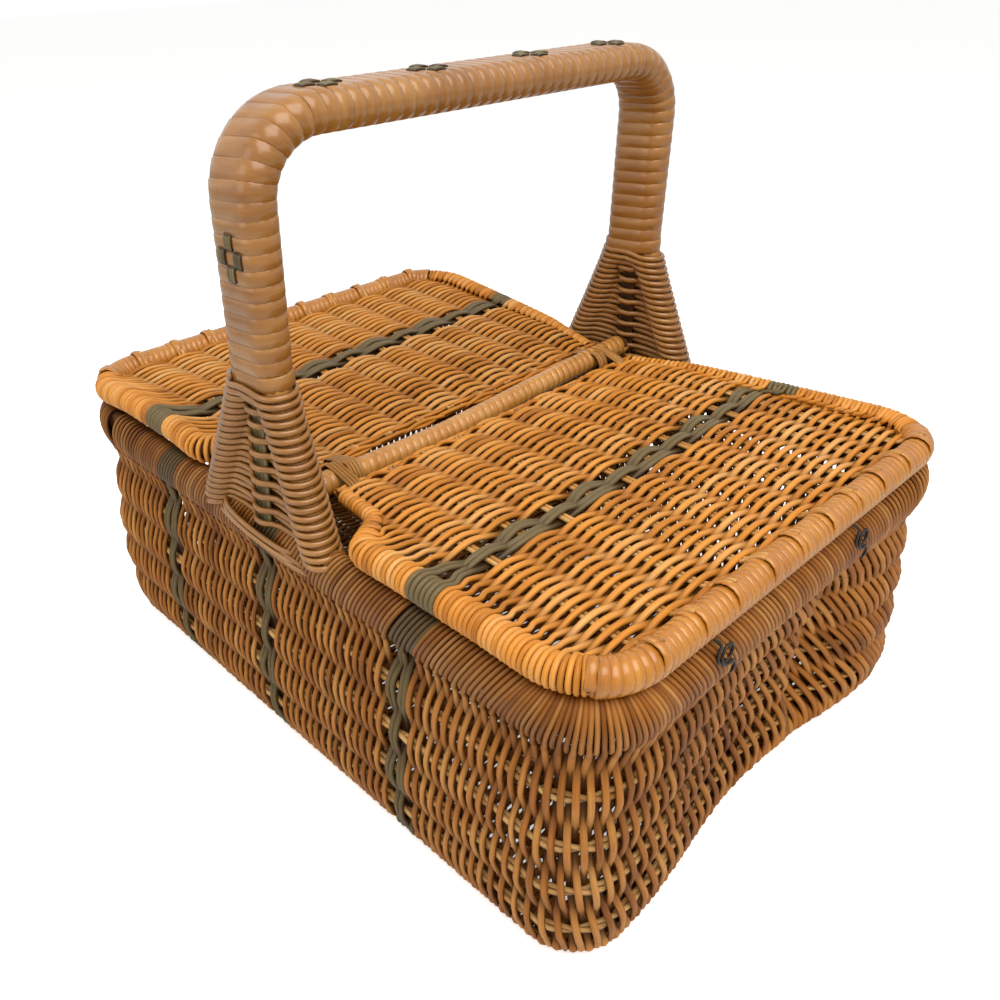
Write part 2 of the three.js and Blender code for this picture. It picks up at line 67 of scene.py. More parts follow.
def add_node(tree, kind, inputs=None, **settings):
    """One shader node: settings are its properties, inputs its sockets as values or links."""
    node = tree.nodes.new("ShaderNode" + kind)
    for name, value in settings.items():
        setattr(node, name, value)
    for name, value in (inputs or {}).items():
        if isinstance(value, bpy.types.NodeSocket):
            tree.links.new(value, node.inputs[name])
        else:
            node.inputs[name].default_value = value
    return node


camera = bpy.data.objects.new("camera", bpy.data.cameras.new("camera"))
camera.data.lens = CAMERA_LENS
camera.data.sensor_width = 36
camera.data.clip_start = 0.01
turned = Matrix((CAMERA_RIGHT, CAMERA_UP, CAMERA_BACK)).transposed()
camera.matrix_world = Matrix.Translation(CAMERA_PLACE) @ turned.to_4x4()
bpy.context.collection.objects.link(camera)
bpy.context.scene.camera = camera
bpy.context.scene.view_settings.view_transform = "Standard"


def area_lamp(name, place, size, power, tint):
    """A square lamp at place, facing the middle of the basket."""
    lamp = bpy.data.objects.new(name, bpy.data.lights.new(name, "AREA"))
    lamp.data.size = size
    lamp.data.energy = power
    lamp.data.color = colour(tint)[:3]
    facing = (Vector(LAMP_AIM) - Vector(place)).to_track_quat("-Z", "Y")
    lamp.matrix_world = Matrix.Translation(place) @ facing.to_matrix().to_4x4()
    bpy.context.collection.objects.link(lamp)


area_lamp("soft_key", (0.52, -0.24, 1.25), size=1.1, power=17.0, tint="fff8ee")
area_lamp("soft_fill", (-0.5, -1.5, 0.9), size=1.0, power=5.0, tint="fffaf4")

world = bpy.data.worlds.new("studio")
bpy.context.scene.world = world
sky = bare_tree(world)
rays = add_node(sky, "LightPath").outputs
seen = add_node(sky, "Math", {0: rays["Is Camera Ray"], 1: rays["Is Glossy Ray"]}, operation="MAXIMUM")
seen = add_node(sky, "Math", {0: seen.outputs[0], 1: rays["Is Transmission Ray"]}, operation="MAXIMUM")
level = add_node(sky, "MapRange", {"Value": seen.outputs[0], "To Min": EVEN_LIGHT, "To Max": 1.0})
glow = add_node(sky, "Background", {"Color": colour("ffffff"), "Strength": level.outputs[0]})
add_node(sky, "OutputWorld", {"Surface": glow.outputs[0]})

half = FLOOR_SIZE / 2
floor_mesh = bpy.data.meshes.new("studio_floor")
floor_mesh.from_pydata([(-half, -half, 0), (half, -half, 0), (half, half, 0), (-half, half, 0)], [],
                       [(0, 1, 2, 3)])
floor = bpy.data.objects.new("studio_floor", floor_mesh)
bpy.context.collection.objects.link(floor)

# Matt white paper: no shine, and a little glow for the camera alone, so that it shows near white.

paper = bpy.data.materials.new("matt_white_paper")
tree = bare_tree(paper)
matt = add_node(tree, "BsdfDiffuse", {"Color": colour(FLOOR_COLOUR)})
lift = add_node(tree, "Emission", {"Color": colour("ffffff"), "Strength": FLOOR_GLOW})
both = add_node(tree, "AddShader", {0: matt.outputs[0], 1: lift.outputs[0]})
path = add_node(tree, "LightPath")
shown = add_node(tree, "MixShader", {"Fac": path.outputs["Is Camera Ray"], 1: matt.outputs[0],
                                     2: both.outputs[0]})
add_node(tree, "OutputMaterial", {"Surface": shown.outputs[0]})
floor_mesh.materials.append(paper)

# The woven walls: round cane 3 mm thick. The canes stand side by side, each over and under four hoops,
# every other one the other way. At the top they are bent over the rim, every other one tucked back
# inside below it, and at the foot they turn in under the base. Lengths are millimetres from here on.

RIM_LENGTH = 417.0
RIM_WIDTH = 290.0
RIM_CORNER = 32.0
RIM_TOP = 157.5
RIM_BOTTOM = 131.0
RIM_STARTS = 127.0
RIM_EASE = 7.0
BASE_LENGTH = 424.0
BASE_WIDTH = 306.0
TOP_SWELL = 3.0
SIDE_BELLY = 6.0
END_DENT = 16.0
END_DENT_WIDTH = 236.0
FOLD_DEPTH = 16.0
FOLD_PLACE = 50.0
FOLD_WIDTHS = (10.0, 34.0)
FOLD_HEIGHTS = (2, 124)
CANE = 3.1
CANE_DEPTH = 2.75
CANE_PITCH = 2.9
PAIR_SWING = 1.6
WALL_CANES = 468
WALL_CANE = 3.35
RIM_CANE = 2.55
WALL_WAVE = 3.2
BACK_WAVE = 1.1
BACK_RUN = (660, 700, 1010, 1050)
WALL_UNEVEN = 0.2
WALL_SWAY = (0.14, 0.5)
WALL_DARK = {"front": (-115.5, -16.0, 95.0), "back": (-107.0, 4.0, 112.0)}
HOOP_PITCH = 27.0
HOOP_COUNT = 4
HOOP_MIDDLE = -2.5
HOOP_DROP = 4.0
RIM_LEAN = 18.0
RIM_LEAN_DROP = 28.0
SIDE_LEAN = 5.0
SIDE_LEAN_TOP = 105.0
SIDE_LEAN_DROP = 90.0
END_LEAN = 70.0
END_LEAN_RUN = (-18, 200, 410)
END_LEAN_HEIGHTS = (118, 12)
LEAN_EASE = 48.0
CROWDED = 0.12
PRESSED = 0.25
PRESSED_RUN = (5, 40)
FLAT_FOOT = 0.15
FOOT_HEIGHTS = (14, 6)
# Painted shade added to the canes' hollow shading: on the rim for the shade under the lids, less on the end,
# a little on the walls off the end; the pressed end wall gets painted light.
RIM_PAINTED_SHADE = 0.44
RIM_END_LESS_SHADE = 0.22
WALL_PAINTED_SHADE = 0.05
FOLD_PAINTED_LIGHT = 0.2

dice = np.random.default_rng(18)


def part_way(value, start, end):
    """How far a value has come from start to end: nought before start and one past the end."""
    return np.clip((value - start) / (end - start), 0, 1)


def coords(*parts):
    """Points from their coordinates, each spread to the shape of the others."""
    return np.stack(np.broadcast_arrays(*parts), axis=-1)


def flowing(points, steps, joined=False):
    """Smooth lines through control points: a cubic B-spline, each point a weighted mean of four."""
    if joined:
        padded = np.concatenate([points[..., -1:, :], points, points[..., :2, :]], axis=-2)
    else:
        first = 2 * points[..., :1, :] - points[..., 1:2, :]
        last = 2 * points[..., -1:, :] - points[..., -2:-1, :]
        padded = np.concatenate([first, points, last], axis=-2)
    t = np.linspace(0, 1, steps, endpoint=False)
    weights = np.stack([(1 - t) ** 3, 3 * t ** 3 - 6 * t ** 2 + 4, -3 * t ** 3 + 3 * t ** 2 + 3 * t + 1,
                        t ** 3]) / 6
    spans = padded.shape[-2] - 3
    groups = np.stack([padded[..., i:i + spans, :] for i in range(4)])
    curve = np.einsum("g...kd,gt->...ktd", groups, weights)
    curve = curve.reshape(*points.shape[:-2], spans * steps, points.shape[-1])
    return curve if joined else np.concatenate([curve, points[..., -1:, :]], axis=-2)


def unit(vectors):
    """Vectors divided by their length."""
    return vectors / np.maximum(np.linalg.norm(vectors, axis=-1, keepdims=True), 1e-9)


def lengths_along(lines):
    """The distance of each point of a line from its first point: the sum of the steps up to it."""
    steps = np.cumsum(np.linalg.norm(np.diff(lines, axis=-2), axis=-1), axis=-1)
    return np.concatenate([np.zeros((*steps.shape[:-1], 1)), steps], axis=-1)


CAP_FACES = {6: ((0, 1, 2, 3), (0, 3, 4, 5)),
             8: ((0, 1, 2, 3), (0, 3, 4, 7), (4, 5, 6, 7)),
             12: ((0, 1, 2, 3), (0, 3, 4, 5), (0, 5, 6, 7), (0, 7, 8, 11), (8, 9, 10, 11))}
STRAND_SHIFT = 37.0


def canes(name, path, outward, width, depth, tone=0.0, dark=0.0, sides=6, joined=False, flat=1.0, wave=1.0,
          painted_shade=0.0):
    """Canes along paths, path[cane, station, xyz]. The section is an ellipse, width across the cane and
    depth towards outward; flat below 1 squares it. Stations join round or end in flat caps. The map
    "strand" holds the way along the cane in units of 100 mm, shifted from cane to cane, and the way
    round it. "hollow" is the amount of painted shade: nought on the side that shows and one on the
    hidden side: half, less the height on the section times the wave, which is one where a cane is on
    the outside of the weave and less one inside, plus the extra painted shade given for the place."""
    count, stations = path.shape[:2]

    def each(value):
        """A value for each station, from one for all canes, one for each or one for each station."""
        value = np.asarray(value, float)
        return np.broadcast_to(value.reshape(-1, 1) if value.ndim < 2 else value, (count, stations))

    if joined:
        along = np.roll(path, -1, axis=1) - np.roll(path, 1, axis=1)
    else:
        along = np.gradient(path, axis=1)
    along = unit(along)
    across = unit(np.cross(along, np.broadcast_to(outward, path.shape)))
    up = np.cross(across, along)
    angle = 2 * np.pi * np.arange(sides) / sides - np.pi / 2
    ring_x, ring_y = [np.sign(bend) * np.abs(bend) ** flat / 2 for bend in (np.cos(angle), np.sin(angle))]
    points = (path[:, :, None] + across[:, :, None] * (each(width)[..., None] * ring_x)[..., None]
              + up[:, :, None] * (each(depth)[..., None] * ring_y)[..., None])
    bands = stations if joined else stations - 1
    i, j, k = np.meshgrid(np.arange(count), np.arange(bands), np.arange(sides), indexing="ij")
    after, beside = (j + 1) % stations, (k + 1) % sides
    corners = ((j, k), (after, k), (after, beside), (j, beside))
    quads = np.stack([(i * stations + a) * sides + b for a, b in corners], axis=-1).reshape(-1, 4)
    length = lengths_along(np.concatenate([path, path[:, :1]], axis=1) if joined else path)
    length = length + STRAND_SHIFT * np.arange(count)[:, None]
    u = coords(length[i, j], length[i, j + 1], length[i, j + 1], length[i, j])
    v = coords(k, k, k + 1, k + 1) / sides
    maps = coords(u / 100, v).reshape(-1, 2)
    if not joined:
        fans = np.array(CAP_FACES[sides])
        first = np.arange(count)[:, None, None] * stations * sides
        caps = np.concatenate([first + fans, first + (stations - 1) * sides + fans[:, ::-1]], axis=0)
        caps = caps.reshape(-1, 4)
        quads = np.concatenate([quads, caps])
        maps = np.concatenate([maps, np.zeros((len(caps) * 4, 2))])
    mesh = bpy.data.meshes.new(name)
    mesh.from_pydata((points.reshape(-1, 3) / 1000).tolist(), [], quads.tolist())
    mesh.polygons.foreach_set("use_smooth", np.ones(len(quads), bool))
    mesh.uv_layers.new(name="strand").data.foreach_set("uv", maps.ravel())
    # Painted shade: hollow is high on the hidden side of a cane and where it lies inside the weave, and the
    # extra painted shade of the place is added to it.
    hollow = 0.5 - each(wave)[..., None] * ring_y + each(painted_shade)[..., None]
    tone, dark = np.repeat(each(tone), sides), np.repeat(each(dark), sides)
    for label, value in (("tone", tone), ("dark", dark), ("hollow", hollow.ravel())):
        layer = mesh.attributes.new(label, "FLOAT", "POINT")
        layer.data.foreach_set("value", value.astype(np.float32))
    mesh.update()
    piece = bpy.data.objects.new(name, mesh)
    bpy.context.collection.objects.link(piece)
    return piece


def fit(piece, material, body="basket", instead_of=()):
    """Gives a piece its material, the body it moves with and the solids it stands for."""
    piece.data.materials.clear()
    piece.data.materials.append(material)
    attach(piece, body)
    if instead_of:
        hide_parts(*instead_of)


def peeled_cane(name, deep, mid, pale, dark="665636", shade="301000", rough=0.5, coat=0.0, grain=0.35,
                gloss=0.25):
    """Rattan cane, peeled and left to yellow: deep, mid and pale are its range of colour. Every cane
    has its own tone, streaks about 20 mm long run along it and broad patches drift over the basket.
    Its fibres, 0.3 mm apart, are drawn twice as coarse so that they show. The shade is painted shade,
    mixed in by the "hollow" attribute on the hidden sides of the canes, deep in the weave and where a
    place is given extra painted shade. A Mix node takes its colours at 6 and 7."""
    material = bpy.data.materials.new(name)
    tree = bare_tree(material)
    strand = add_node(tree, "UVMap", uv_map="strand")
    place = add_node(tree, "TexCoord")
    own = add_node(tree, "Attribute", attribute_name="tone")
    dark_stain_and_shadow = add_node(tree, "Attribute", attribute_name="dark")
    stretched = add_node(tree, "Mapping", {"Vector": strand.outputs[0], "Scale": (2.2, 3.0, 1.0)})
    streak = add_node(tree, "TexNoise", {"Vector": stretched.outputs[0], "Scale": 2.0, "Detail": 3.0,
                                         "Roughness": 0.6})
    patch = add_node(tree, "TexNoise", {"Vector": place.outputs["Object"], "Scale": 28.0, "Detail": 3.0})
    toned = add_node(tree, "Math", {0: own.outputs["Fac"], 1: 0.42}, operation="MULTIPLY")
    streaked = add_node(tree, "Math", {0: streak.outputs["Fac"], 1: 0.62, 2: toned.outputs[0]},
                        operation="MULTIPLY_ADD")
    patched = add_node(tree, "Math", {0: patch.outputs["Fac"], 1: 0.55, 2: streaked.outputs[0]},
                       operation="MULTIPLY_ADD")
    centred = add_node(tree, "Math", {0: patched.outputs[0], 1: 0.3}, operation="SUBTRACT")
    range_of_cane = add_node(tree, "ValToRGB", {"Fac": centred.outputs[0]})
    stops = range_of_cane.color_ramp.elements
    stops[0].position, stops[0].color = 0.12, colour(deep)
    stops[1].position, stops[1].color = 0.88, colour(pale)
    stops.new(0.5).color = colour(mid)
    dusky = add_node(tree, "Mix", {0: dark_stain_and_shadow.outputs["Fac"], 6: range_of_cane.outputs["Color"],
                                   7: colour(dark)}, data_type="RGBA")
    # Painted shade: the shade colour is mixed in by the "hollow" attribute, on the hidden side of each cane,
    # deep in the weave and where a place is given extra painted shade.
    hollow = add_node(tree, "Attribute", attribute_name="hollow")
    painted_shade_amount = add_node(tree, "MapRange", {"Value": hollow.outputs["Fac"], "From Min": 0.12, "From Max": 1.0,
                                          "To Min": 0.0, "To Max": 0.9}, interpolation_type="SMOOTHSTEP")
    shaded = add_node(tree, "Mix", {0: painted_shade_amount.outputs[0], 6: dusky.outputs[2], 7: colour(shade)},
                      data_type="RGBA")
    fibres = add_node(tree, "Mapping", {"Vector": strand.outputs[0], "Scale": (4.0, 14.0, 1.0)})
    fibre = add_node(tree, "TexNoise", {"Vector": fibres.outputs[0], "Scale": 1.0, "Detail": 2.0})
    relief = add_node(tree, "Bump", {"Height": fibre.outputs["Fac"], "Strength": grain, "Distance": 0.0004})
    cane = add_node(tree, "BsdfPrincipled", {
        "Base Color": shaded.outputs[2], "Roughness": rough, "IOR": 1.5, "Specular IOR Level": gloss,
        "Coat Weight": coat, "Coat Roughness": 0.22, "Normal": relief.outputs[0]})
    add_node(tree, "OutputMaterial", {"Surface": cane.outputs[0]})
    return material


def way_round(s, half_length, half_width, corner):
    """The place and outward normal at s millimetres along the rim's centreline from the front left
    corner, carried to a rounded rectangle of another size: straight sides and quarter circles keep
    their share of the way."""
    marks = np.cumsum([0] + [long_side, quarter, end_side, quarter] * 2)
    q = np.interp(np.mod(s, marks[-1]), marks, np.arange(9))
    spots = np.arange(9)
    x = np.interp(q, spots, [-1, 1, 1, 1, 1, -1, -1, -1, -1]) * (half_length - corner)
    y = np.interp(q, spots, [-1, -1, -1, 1, 1, 1, 1, -1, -1]) * (half_width - corner)
    turn = np.radians(np.interp(q, spots, [-90, -90, 0, 0, 90, 90, 180, 180, 270]))
    normal = coords(np.cos(turn), np.sin(turn))
    return coords(x, y) + corner * normal, normal


long_side, end_side, quarter = RIM_LENGTH - 2 * RIM_CORNER, RIM_WIDTH - 2 * RIM_CORNER, RIM_CORNER * np.pi / 2
way_about = 2 * (long_side + end_side) + 4 * quarter


def dent(y, z):
    """How far the right-hand end is pushed in: a cosine across it and a sine up it."""
    across = 0.5 + 0.5 * np.cos(np.pi * np.minimum(np.abs(y) / (END_DENT_WIDTH / 2), 1))
    return END_DENT * across * np.maximum(np.sin(np.pi * (z + RIM_BOTTOM * 0.3) / (RIM_BOTTOM * 1.3)), 0)


def crease(y):
    """The shape of the fold across the dented end: a bell, steep on the near side."""
    return np.exp(-((y - FOLD_PLACE) / np.where(y < FOLD_PLACE, *FOLD_WIDTHS)) ** 2)


def fold_strength(z):
    """The fold is deepest half-way up, and is gone at the rim and the base."""
    return np.sin(np.pi * part_way(z, *FOLD_HEIGHTS)) ** 0.8


fold_y = np.linspace(-120, 120, 481)
fold_line = coords(fold_y, dent(fold_y, 60.0) + FOLD_DEPTH * crease(fold_y))
fold_way = lengths_along(fold_line)
fold_gather = np.interp(np.linspace(0, fold_way[-1], len(fold_y)), fold_way, fold_y) - fold_y


def on_wall(s, z, out):
    """The point s millimetres along the wall at height z, out millimetres outside its face. On the
    dented end the points move along the wall so that they stay evenly spaced over the fold."""
    rise = part_way(z, 0, RIM_BOTTOM)
    half_length = BASE_LENGTH / 2 + (RIM_LENGTH + TOP_SWELL - BASE_LENGTH) / 2 * rise
    half_width = BASE_WIDTH / 2 + (RIM_WIDTH + TOP_SWELL - BASE_WIDTH) / 2 * rise
    spot, normal = way_round(s, half_length, half_width + SIDE_BELLY * np.sin(np.pi * rise), RIM_CORNER)
    on_end = np.clip(normal[..., 0], 0, 1) ** 4
    y = spot[..., 1] + on_end * fold_strength(z) * np.interp(spot[..., 1], fold_y, fold_gather)
    pushed = on_end * (dent(y, z) + FOLD_DEPTH * fold_strength(z) * crease(y))
    x = spot[..., 0] - pushed + normal[..., 0] * out
    y = y + normal[..., 1] * out
    facing = coords(normal[..., 0], normal[..., 1], 0.0)
    return coords(x, y, z), facing


def dark_strands(places, dark_places, over):
    """Turns six neighbours at each dark place into three pairs: the outer pairs go over where the
    middle one goes under. Gives the new places, the sides of the weave, the pair (-1, 0 or 1) and
    which canes are dark."""
    places, over = places.copy(), over.copy()
    pair, dark = np.zeros(len(places)), np.zeros(len(places))
    for place in dark_places:
        group = np.arange(-3, 3) + int(np.argmin(np.abs(places - place)))
        places[group] = place + CANE_PITCH * np.array([-0.5, 0.5] * 3)
        over[group] = [1, 1, -1, -1, 1, 1]
        pair[group] = [-1, -1, 0, 0, 1, 1]
        dark[group] = 1
    return places, over, pair, dark


stood = (np.arange(WALL_CANES) + 0.5) * way_about / WALL_CANES
front = [place + long_side / 2 for place in WALL_DARK["front"]]
back = [long_side * 1.5 + 2 * quarter + end_side - place for place in WALL_DARK["back"]]
left = [2 * long_side + 3 * quarter + end_side * 1.5]
stood, over, pair, dark = dark_strands(stood, front + back + left,
                                       np.where(np.arange(WALL_CANES) % 2, -1.0, 1.0))
corners = np.cumsum([-quarter / 2] + [long_side + quarter, end_side + quarter] * 2)
knots = np.sort(np.concatenate([corners, corners[:-1] + LEAN_EASE, corners[1:] - LEAN_EASE]))
hand = np.interp(stood, knots, [0, -1, -1, 0, 1, 1, 0, -1, -1, 0, 1, 1, 0])[:, None]
outside = over[:, None, None] > 0

# A cane's track, as distance out and height: over the rim, its end, down through the weave, its foot.

over_rim = np.array([[-6.6, 133.0], [-6.9, 146.0], [-5.2, 153.3], [-1.2, 156.3], [2.9, 154.6], [5.6, 149.8],
                     [6.5, 143.4], [5.2, 136.8]])
crest = over_rim[:, 1].argmax()
tucked = np.array([[3.4, 132.4], [0.6, 129.0], [-3.4, 127.6]])
hanging = np.array([[3.2, 132.0], [2.2, 129.4], [1.6, 127.8]])
foot = np.array([[-1.4, 8.5], [-3.0, 4.4], [-7.0, 1.9], [-16.0, 1.8], [-28.0, 1.9]])
inner_foot = np.array([-0.4, 0.1])
heights = np.arange(126.0, 11.0, -HOOP_PITCH / 8)
wave = over[:, None] * np.cos(np.pi * (heights - HOOP_COUNT * HOOP_PITCH + HOOP_DROP) / HOOP_PITCH)
at_back = np.interp(stood, BACK_RUN, [0, 1, 1, 0])[:, None]
out = HOOP_MIDDLE + (WALL_WAVE + BACK_WAVE * at_back) * wave
woven = coords(out, heights)
track = np.concatenate([np.tile(over_rim, (WALL_CANES, 1, 1)), np.where(outside, tucked, hanging), woven,
                        foot + np.where(outside, 0, inner_foot)], axis=1)
# The ends under the rim: their wave sets only their painted shade, most on the ends tucked inside.
end_wave = 0.3 - 0.9 * np.clip(over[:, None], 0, 1) * [0.6, 1.0]
wave = np.concatenate([np.ones((WALL_CANES, len(over_rim) + 1)), end_wave, wave,
                       np.ones((WALL_CANES, len(foot)))], axis=1)

# How far each point of a cane lies to one side of where the cane stands.

height = track[..., 1]
on_wall_part = height < RIM_STARTS
aside = pair[:, None] * (CANE_PITCH + PAIR_SWING * wave * on_wall_part + CANE_PITCH * ~on_wall_part)
past_crest = np.arange(height.shape[1]) > crest
came_over = part_way(height, over_rim[crest, 1], over_rim[crest, 1] - RIM_LEAN_DROP) * past_crest
side_lean = np.where(hand > 0, 0.0, SIDE_LEAN) * np.clip((SIDE_LEAN_TOP - height) / SIDE_LEAN_DROP, -0.2, 1)
end_share = np.interp(stood - long_side, END_LEAN_RUN, [0, 1, 0])[:, None]
end_lean = END_LEAN * end_share * part_way(height, *END_LEAN_HEIGHTS)
sway = dice.normal(0, WALL_SWAY[0], (WALL_CANES, 1))
sway = sway + WALL_SWAY[1] * np.sin(height / 23 + stood[:, None] / 41)
sway = sway * (height < RIM_STARTS + RIM_EASE)
aside = aside + hand * (RIM_LEAN * (came_over - 1) + side_lean) + end_lean + sway
outs = track[..., 0] + dice.normal(0, WALL_UNEVEN, wave.shape) * on_wall_part
wall_paths, facing = on_wall(stood[:, None] + aside, height, outs)
wall_paths, facing, wave = flowing(wall_paths, 2), flowing(facing, 2), flowing(wave[..., None], 2)[..., 0]

# A cane is thinner on the rim, and wider where it is squeezed flat: on the end and back walls, in the
# fold and at the foot. The rim gets painted shade, for the shade under the lids, less on the end; the
# walls off the end a little; the pressed end wall gets less, which is painted light.

tones = dice.random(WALL_CANES)
widths = WALL_CANE * dice.normal(1, 0.05, WALL_CANES)[:, None]
on_rim = part_way(wall_paths[..., 2], RIM_STARTS, RIM_STARTS + RIM_EASE)
at_end = np.clip(facing[..., 0], 0, 1)
pressed = at_end ** 4 * part_way(wall_paths[..., 1], *PRESSED_RUN) * (1 - on_rim)
at_foot = part_way(wall_paths[..., 2], *FOOT_HEIGHTS)
crowded = np.maximum(np.maximum(at_end, facing[..., 1]) * (1 - on_rim), 0)
widths = widths * (1 - on_rim * (1 - RIM_CANE / WALL_CANE))
widths = widths * (1 + CROWDED * crowded + PRESSED * pressed + FLAT_FOOT * at_foot)
# Painted shade on the rim and the walls, and painted light on the pressed part of the end wall.
painted_shade = (on_rim * (RIM_PAINTED_SHADE - RIM_END_LESS_SHADE * at_end) + WALL_PAINTED_SHADE * (1 - on_rim) * (1 - at_end)
         - FOLD_PAINTED_LIGHT * pressed)
ahead = np.gradient(wall_paths, axis=1)
level_way = unit(coords(-facing[..., 1], facing[..., 0], 0.0))
outward = np.cross(ahead, level_way)

# Old peeled cane, seldom touched: red-brown to straw, with hardly a shine.

wall_cane = peeled_cane("peeled_cane_walls", "6b3a0e", "a96a28", "cc9652", gloss=0.22)
for n, part in enumerate(np.array_split(np.arange(WALL_CANES), 4)):
    piece = canes(f"wall_canes_{n + 1}", wall_paths[part], outward[part], widths[part], CANE_DEPTH,
                  tones[part], dark[part], wave=wave[part], painted_shade=painted_shade[part])
    fit(piece, wall_cane, instead_of=("woven_body",) if n else ("woven_body", "rim_roll"))

# The hoops: pairs of thin cane bent round the basket inside the swell of each row, and one more at
# the foot. The walls are woven over them and nothing else holds them.

HOOP_CANE = 2.6
FOOT_HOOP = (5.4, -5.4)
steps = np.linspace(0, way_about, 260, endpoint=False)
hoop_paths = []
for number in range(HOOP_COUNT):
    for lift in (-1.3, 1.3):
        level = (number + 1) * HOOP_PITCH - HOOP_DROP
        line, _ = on_wall(steps, level + lift * np.cos(steps / 7), HOOP_MIDDLE + lift * np.sin(steps / 7))
        hoop_paths.append(line)
line, _ = on_wall(steps, *FOOT_HOOP)
hoop_paths.append(line)

# Peeled cane out of the light: paler than the walls.

stake_cane = peeled_cane("peeled_cane_stakes", "8a5a26", "c08c4c", "dcb478")
piece = canes("wall_hoops", np.stack(hoop_paths), (0, 0, 1), HOOP_CANE, HOOP_CANE,
              dice.random(len(hoop_paths)), joined=True)
fit(piece, stake_cane, instead_of=[f"wall_hoop_{i + 1}" for i in range(HOOP_COUNT)])

# The rim's core: a bundle of stout cane laid round the mouth of the basket. The wall canes are bent
# over it side by side, so it shows only as a dark body between them.

CORE_WIDTH = 7.2
CORE_HEIGHT = 20.0
core_level = (RIM_TOP + RIM_BOTTOM) / 2 + 0.5
spots, _ = way_round(steps, RIM_LENGTH / 2, RIM_WIDTH / 2, RIM_CORNER)
line = coords(spots[:, 0], spots[:, 1], core_level)[None]

# Cane with its bark on: dark brown and dull.

core_cane = peeled_cane("unpeeled_cane_core", "3c2410", "5c3a18", "7c5426", rough=0.7)
piece = canes("rim_core", line, (0, 0, 1), CORE_WIDTH, CORE_HEIGHT, 0.3, sides=8, joined=True, flat=0.5)
fit(piece, core_cane)

# The floor: canes laid across the basket, over and under seven stout stakes that run along it. Their
# ends lie on the turned-in feet of the wall canes.

FLOOR_STAKES = 7
FLOOR_PITCH = 38.0
FLOOR_LEVEL = 5.5
FLOOR_WAVE = 3.5
FLOOR_CANE = 3.5
FLOOR_STAKE = 4.4
FLOOR_EDGE = (146, 134)
EDGE_DROP = 1.2
floor_x = np.arange(-202.0, 198.0, CANE_PITCH)
floor_y = np.arange(-145.0, 145.1, FLOOR_PITCH / 8)
floor_over = np.where(np.arange(len(floor_x)) % 2, -1.0, 1.0)[:, None]
turn = np.pi * floor_y / FLOOR_PITCH
inside = part_way(np.abs(floor_y), *FLOOR_EDGE)
z = FLOOR_LEVEL - EDGE_DROP * (1 - inside) + FLOOR_WAVE * floor_over * np.cos(turn) * inside
x = floor_x[:, None] + 0.3 * np.sin(turn / 3 + floor_x[:, None])
x = x - dent(floor_y, 6.0) * part_way(x, 120, 200)
floor_paths = coords(x, floor_y, z)
piece = canes("floor_canes", floor_paths, (0, 0, 1), FLOOR_CANE, CANE_DEPTH, dice.random(len(floor_x)))
fit(piece, wall_cane)
stake_y = (np.arange(FLOOR_STAKES) - (FLOOR_STAKES - 1) / 2) * FLOOR_PITCH
reach = BASE_LENGTH / 2 - 13
stake_x = np.linspace(-reach, reach - dent(stake_y, FLOOR_LEVEL), 24, axis=1)
stake_paths = coords(stake_x, stake_y[:, None], FLOOR_LEVEL)
piece = canes("floor_stakes", stake_paths, (0, 0, 1), FLOOR_STAKE, FLOOR_STAKE, dice.random(FLOOR_STAKES))
fit(piece, stake_cane, instead_of=[f"floor_stake_{i + 1}" for i in range(FLOOR_STAKES)])

# The lids: rows of round cane 3 mm thick, each over and under pairs of thin stakes, every other row
# the other way. Both ends of a row are wrapped round the lid's stout side rod. Six dark canes in
# three twined pairs run across each lid.

LIDS = (("right", 1), ("left", -1))
LID_LEVEL = 165.8
LID_HINGE_LEVEL = 162.0
LID_EDGE_X = 12.0
LID_KNEE = (52.0, 123.0)
LID_HINGE_Y = 117.0
LID_SHOULDER_X = 70.0
LID_END_X = RIM_LENGTH / 2
LID_SIDE_Y = RIM_WIDTH / 2
LID_BACK_INSET = 4.0
LID_STAKES = 10
STAKE_STARTS = (17.0, 200.0)
HINGE_STAKES = (-107.5, 23.9)
END_STAKES = (-111.2, 25.6)
LID_WARP = {"right": 1.8, "left": 5.0}
WARP_STARTS = 30.0
LID_ROWS = 63
LID_ROW_START = 19.0
LID_WAVE = 2.6
LID_DARK = {"right": 111.0, "left": 119.0}
LID_BOW = {"right": (2.5, 0.5, -5.0), "left": (-9.0, 1.0, 2.0)}
LID_CANE = 3.5
LID_END_CANE = 2.8
ROW_SHARE = (0.015, 0.865)
ROW_SLIP = {"right": 0.05, "left": -0.012}
ROW_PAST = (0.1, 0.85)
ROW_DRIFT = 0.35
ROW_UNEVEN = 0.12
ROW_ROOM = 1.06
ROW_MEETS_ROD = (1.3, 0.55)
ROW_TURN = (28, 55, 85, 120, 160, 205, 250, 295, 335)
SIDE_ROD = 8.0
NOTCH_ROD = 4.6


def lid_level(x):
    """The height of a lid's stakes: flat on the rim, sloping down to the hinge bar."""
    return LID_HINGE_LEVEL + (LID_LEVEL - LID_HINGE_LEVEL) * part_way(x, LID_EDGE_X, LID_KNEE[0])


def warped(points, hand):
    """Points of a lid, lifted where it has warped off the rim along its near side: the lift grows from
    the middle to the near side and fades to nothing at the hinge and at the end."""
    near_side = part_way(-points[..., 1], WARP_STARTS, LID_SIDE_Y) ** 1.5
    share = near_side * np.interp(np.abs(points[..., 0]), [30, 62, 95, 150, 200], [0, 0.15, 1, 1, 0])
    return points + LID_WARP[hand] * share[..., None] * np.array([0, 0, 1])


def stake_line(number, x):
    """The distance across the basket of a lid's stake: the stakes spread a little towards the end."""
    out = (x - STAKE_STARTS[0]) / (STAKE_STARTS[1] - STAKE_STARTS[0])
    at_hinge, at_end = HINGE_STAKES[0] + HINGE_STAKES[1] * number, END_STAKES[0] + END_STAKES[1] * number
    return at_hinge * (1 - out) + at_end * out


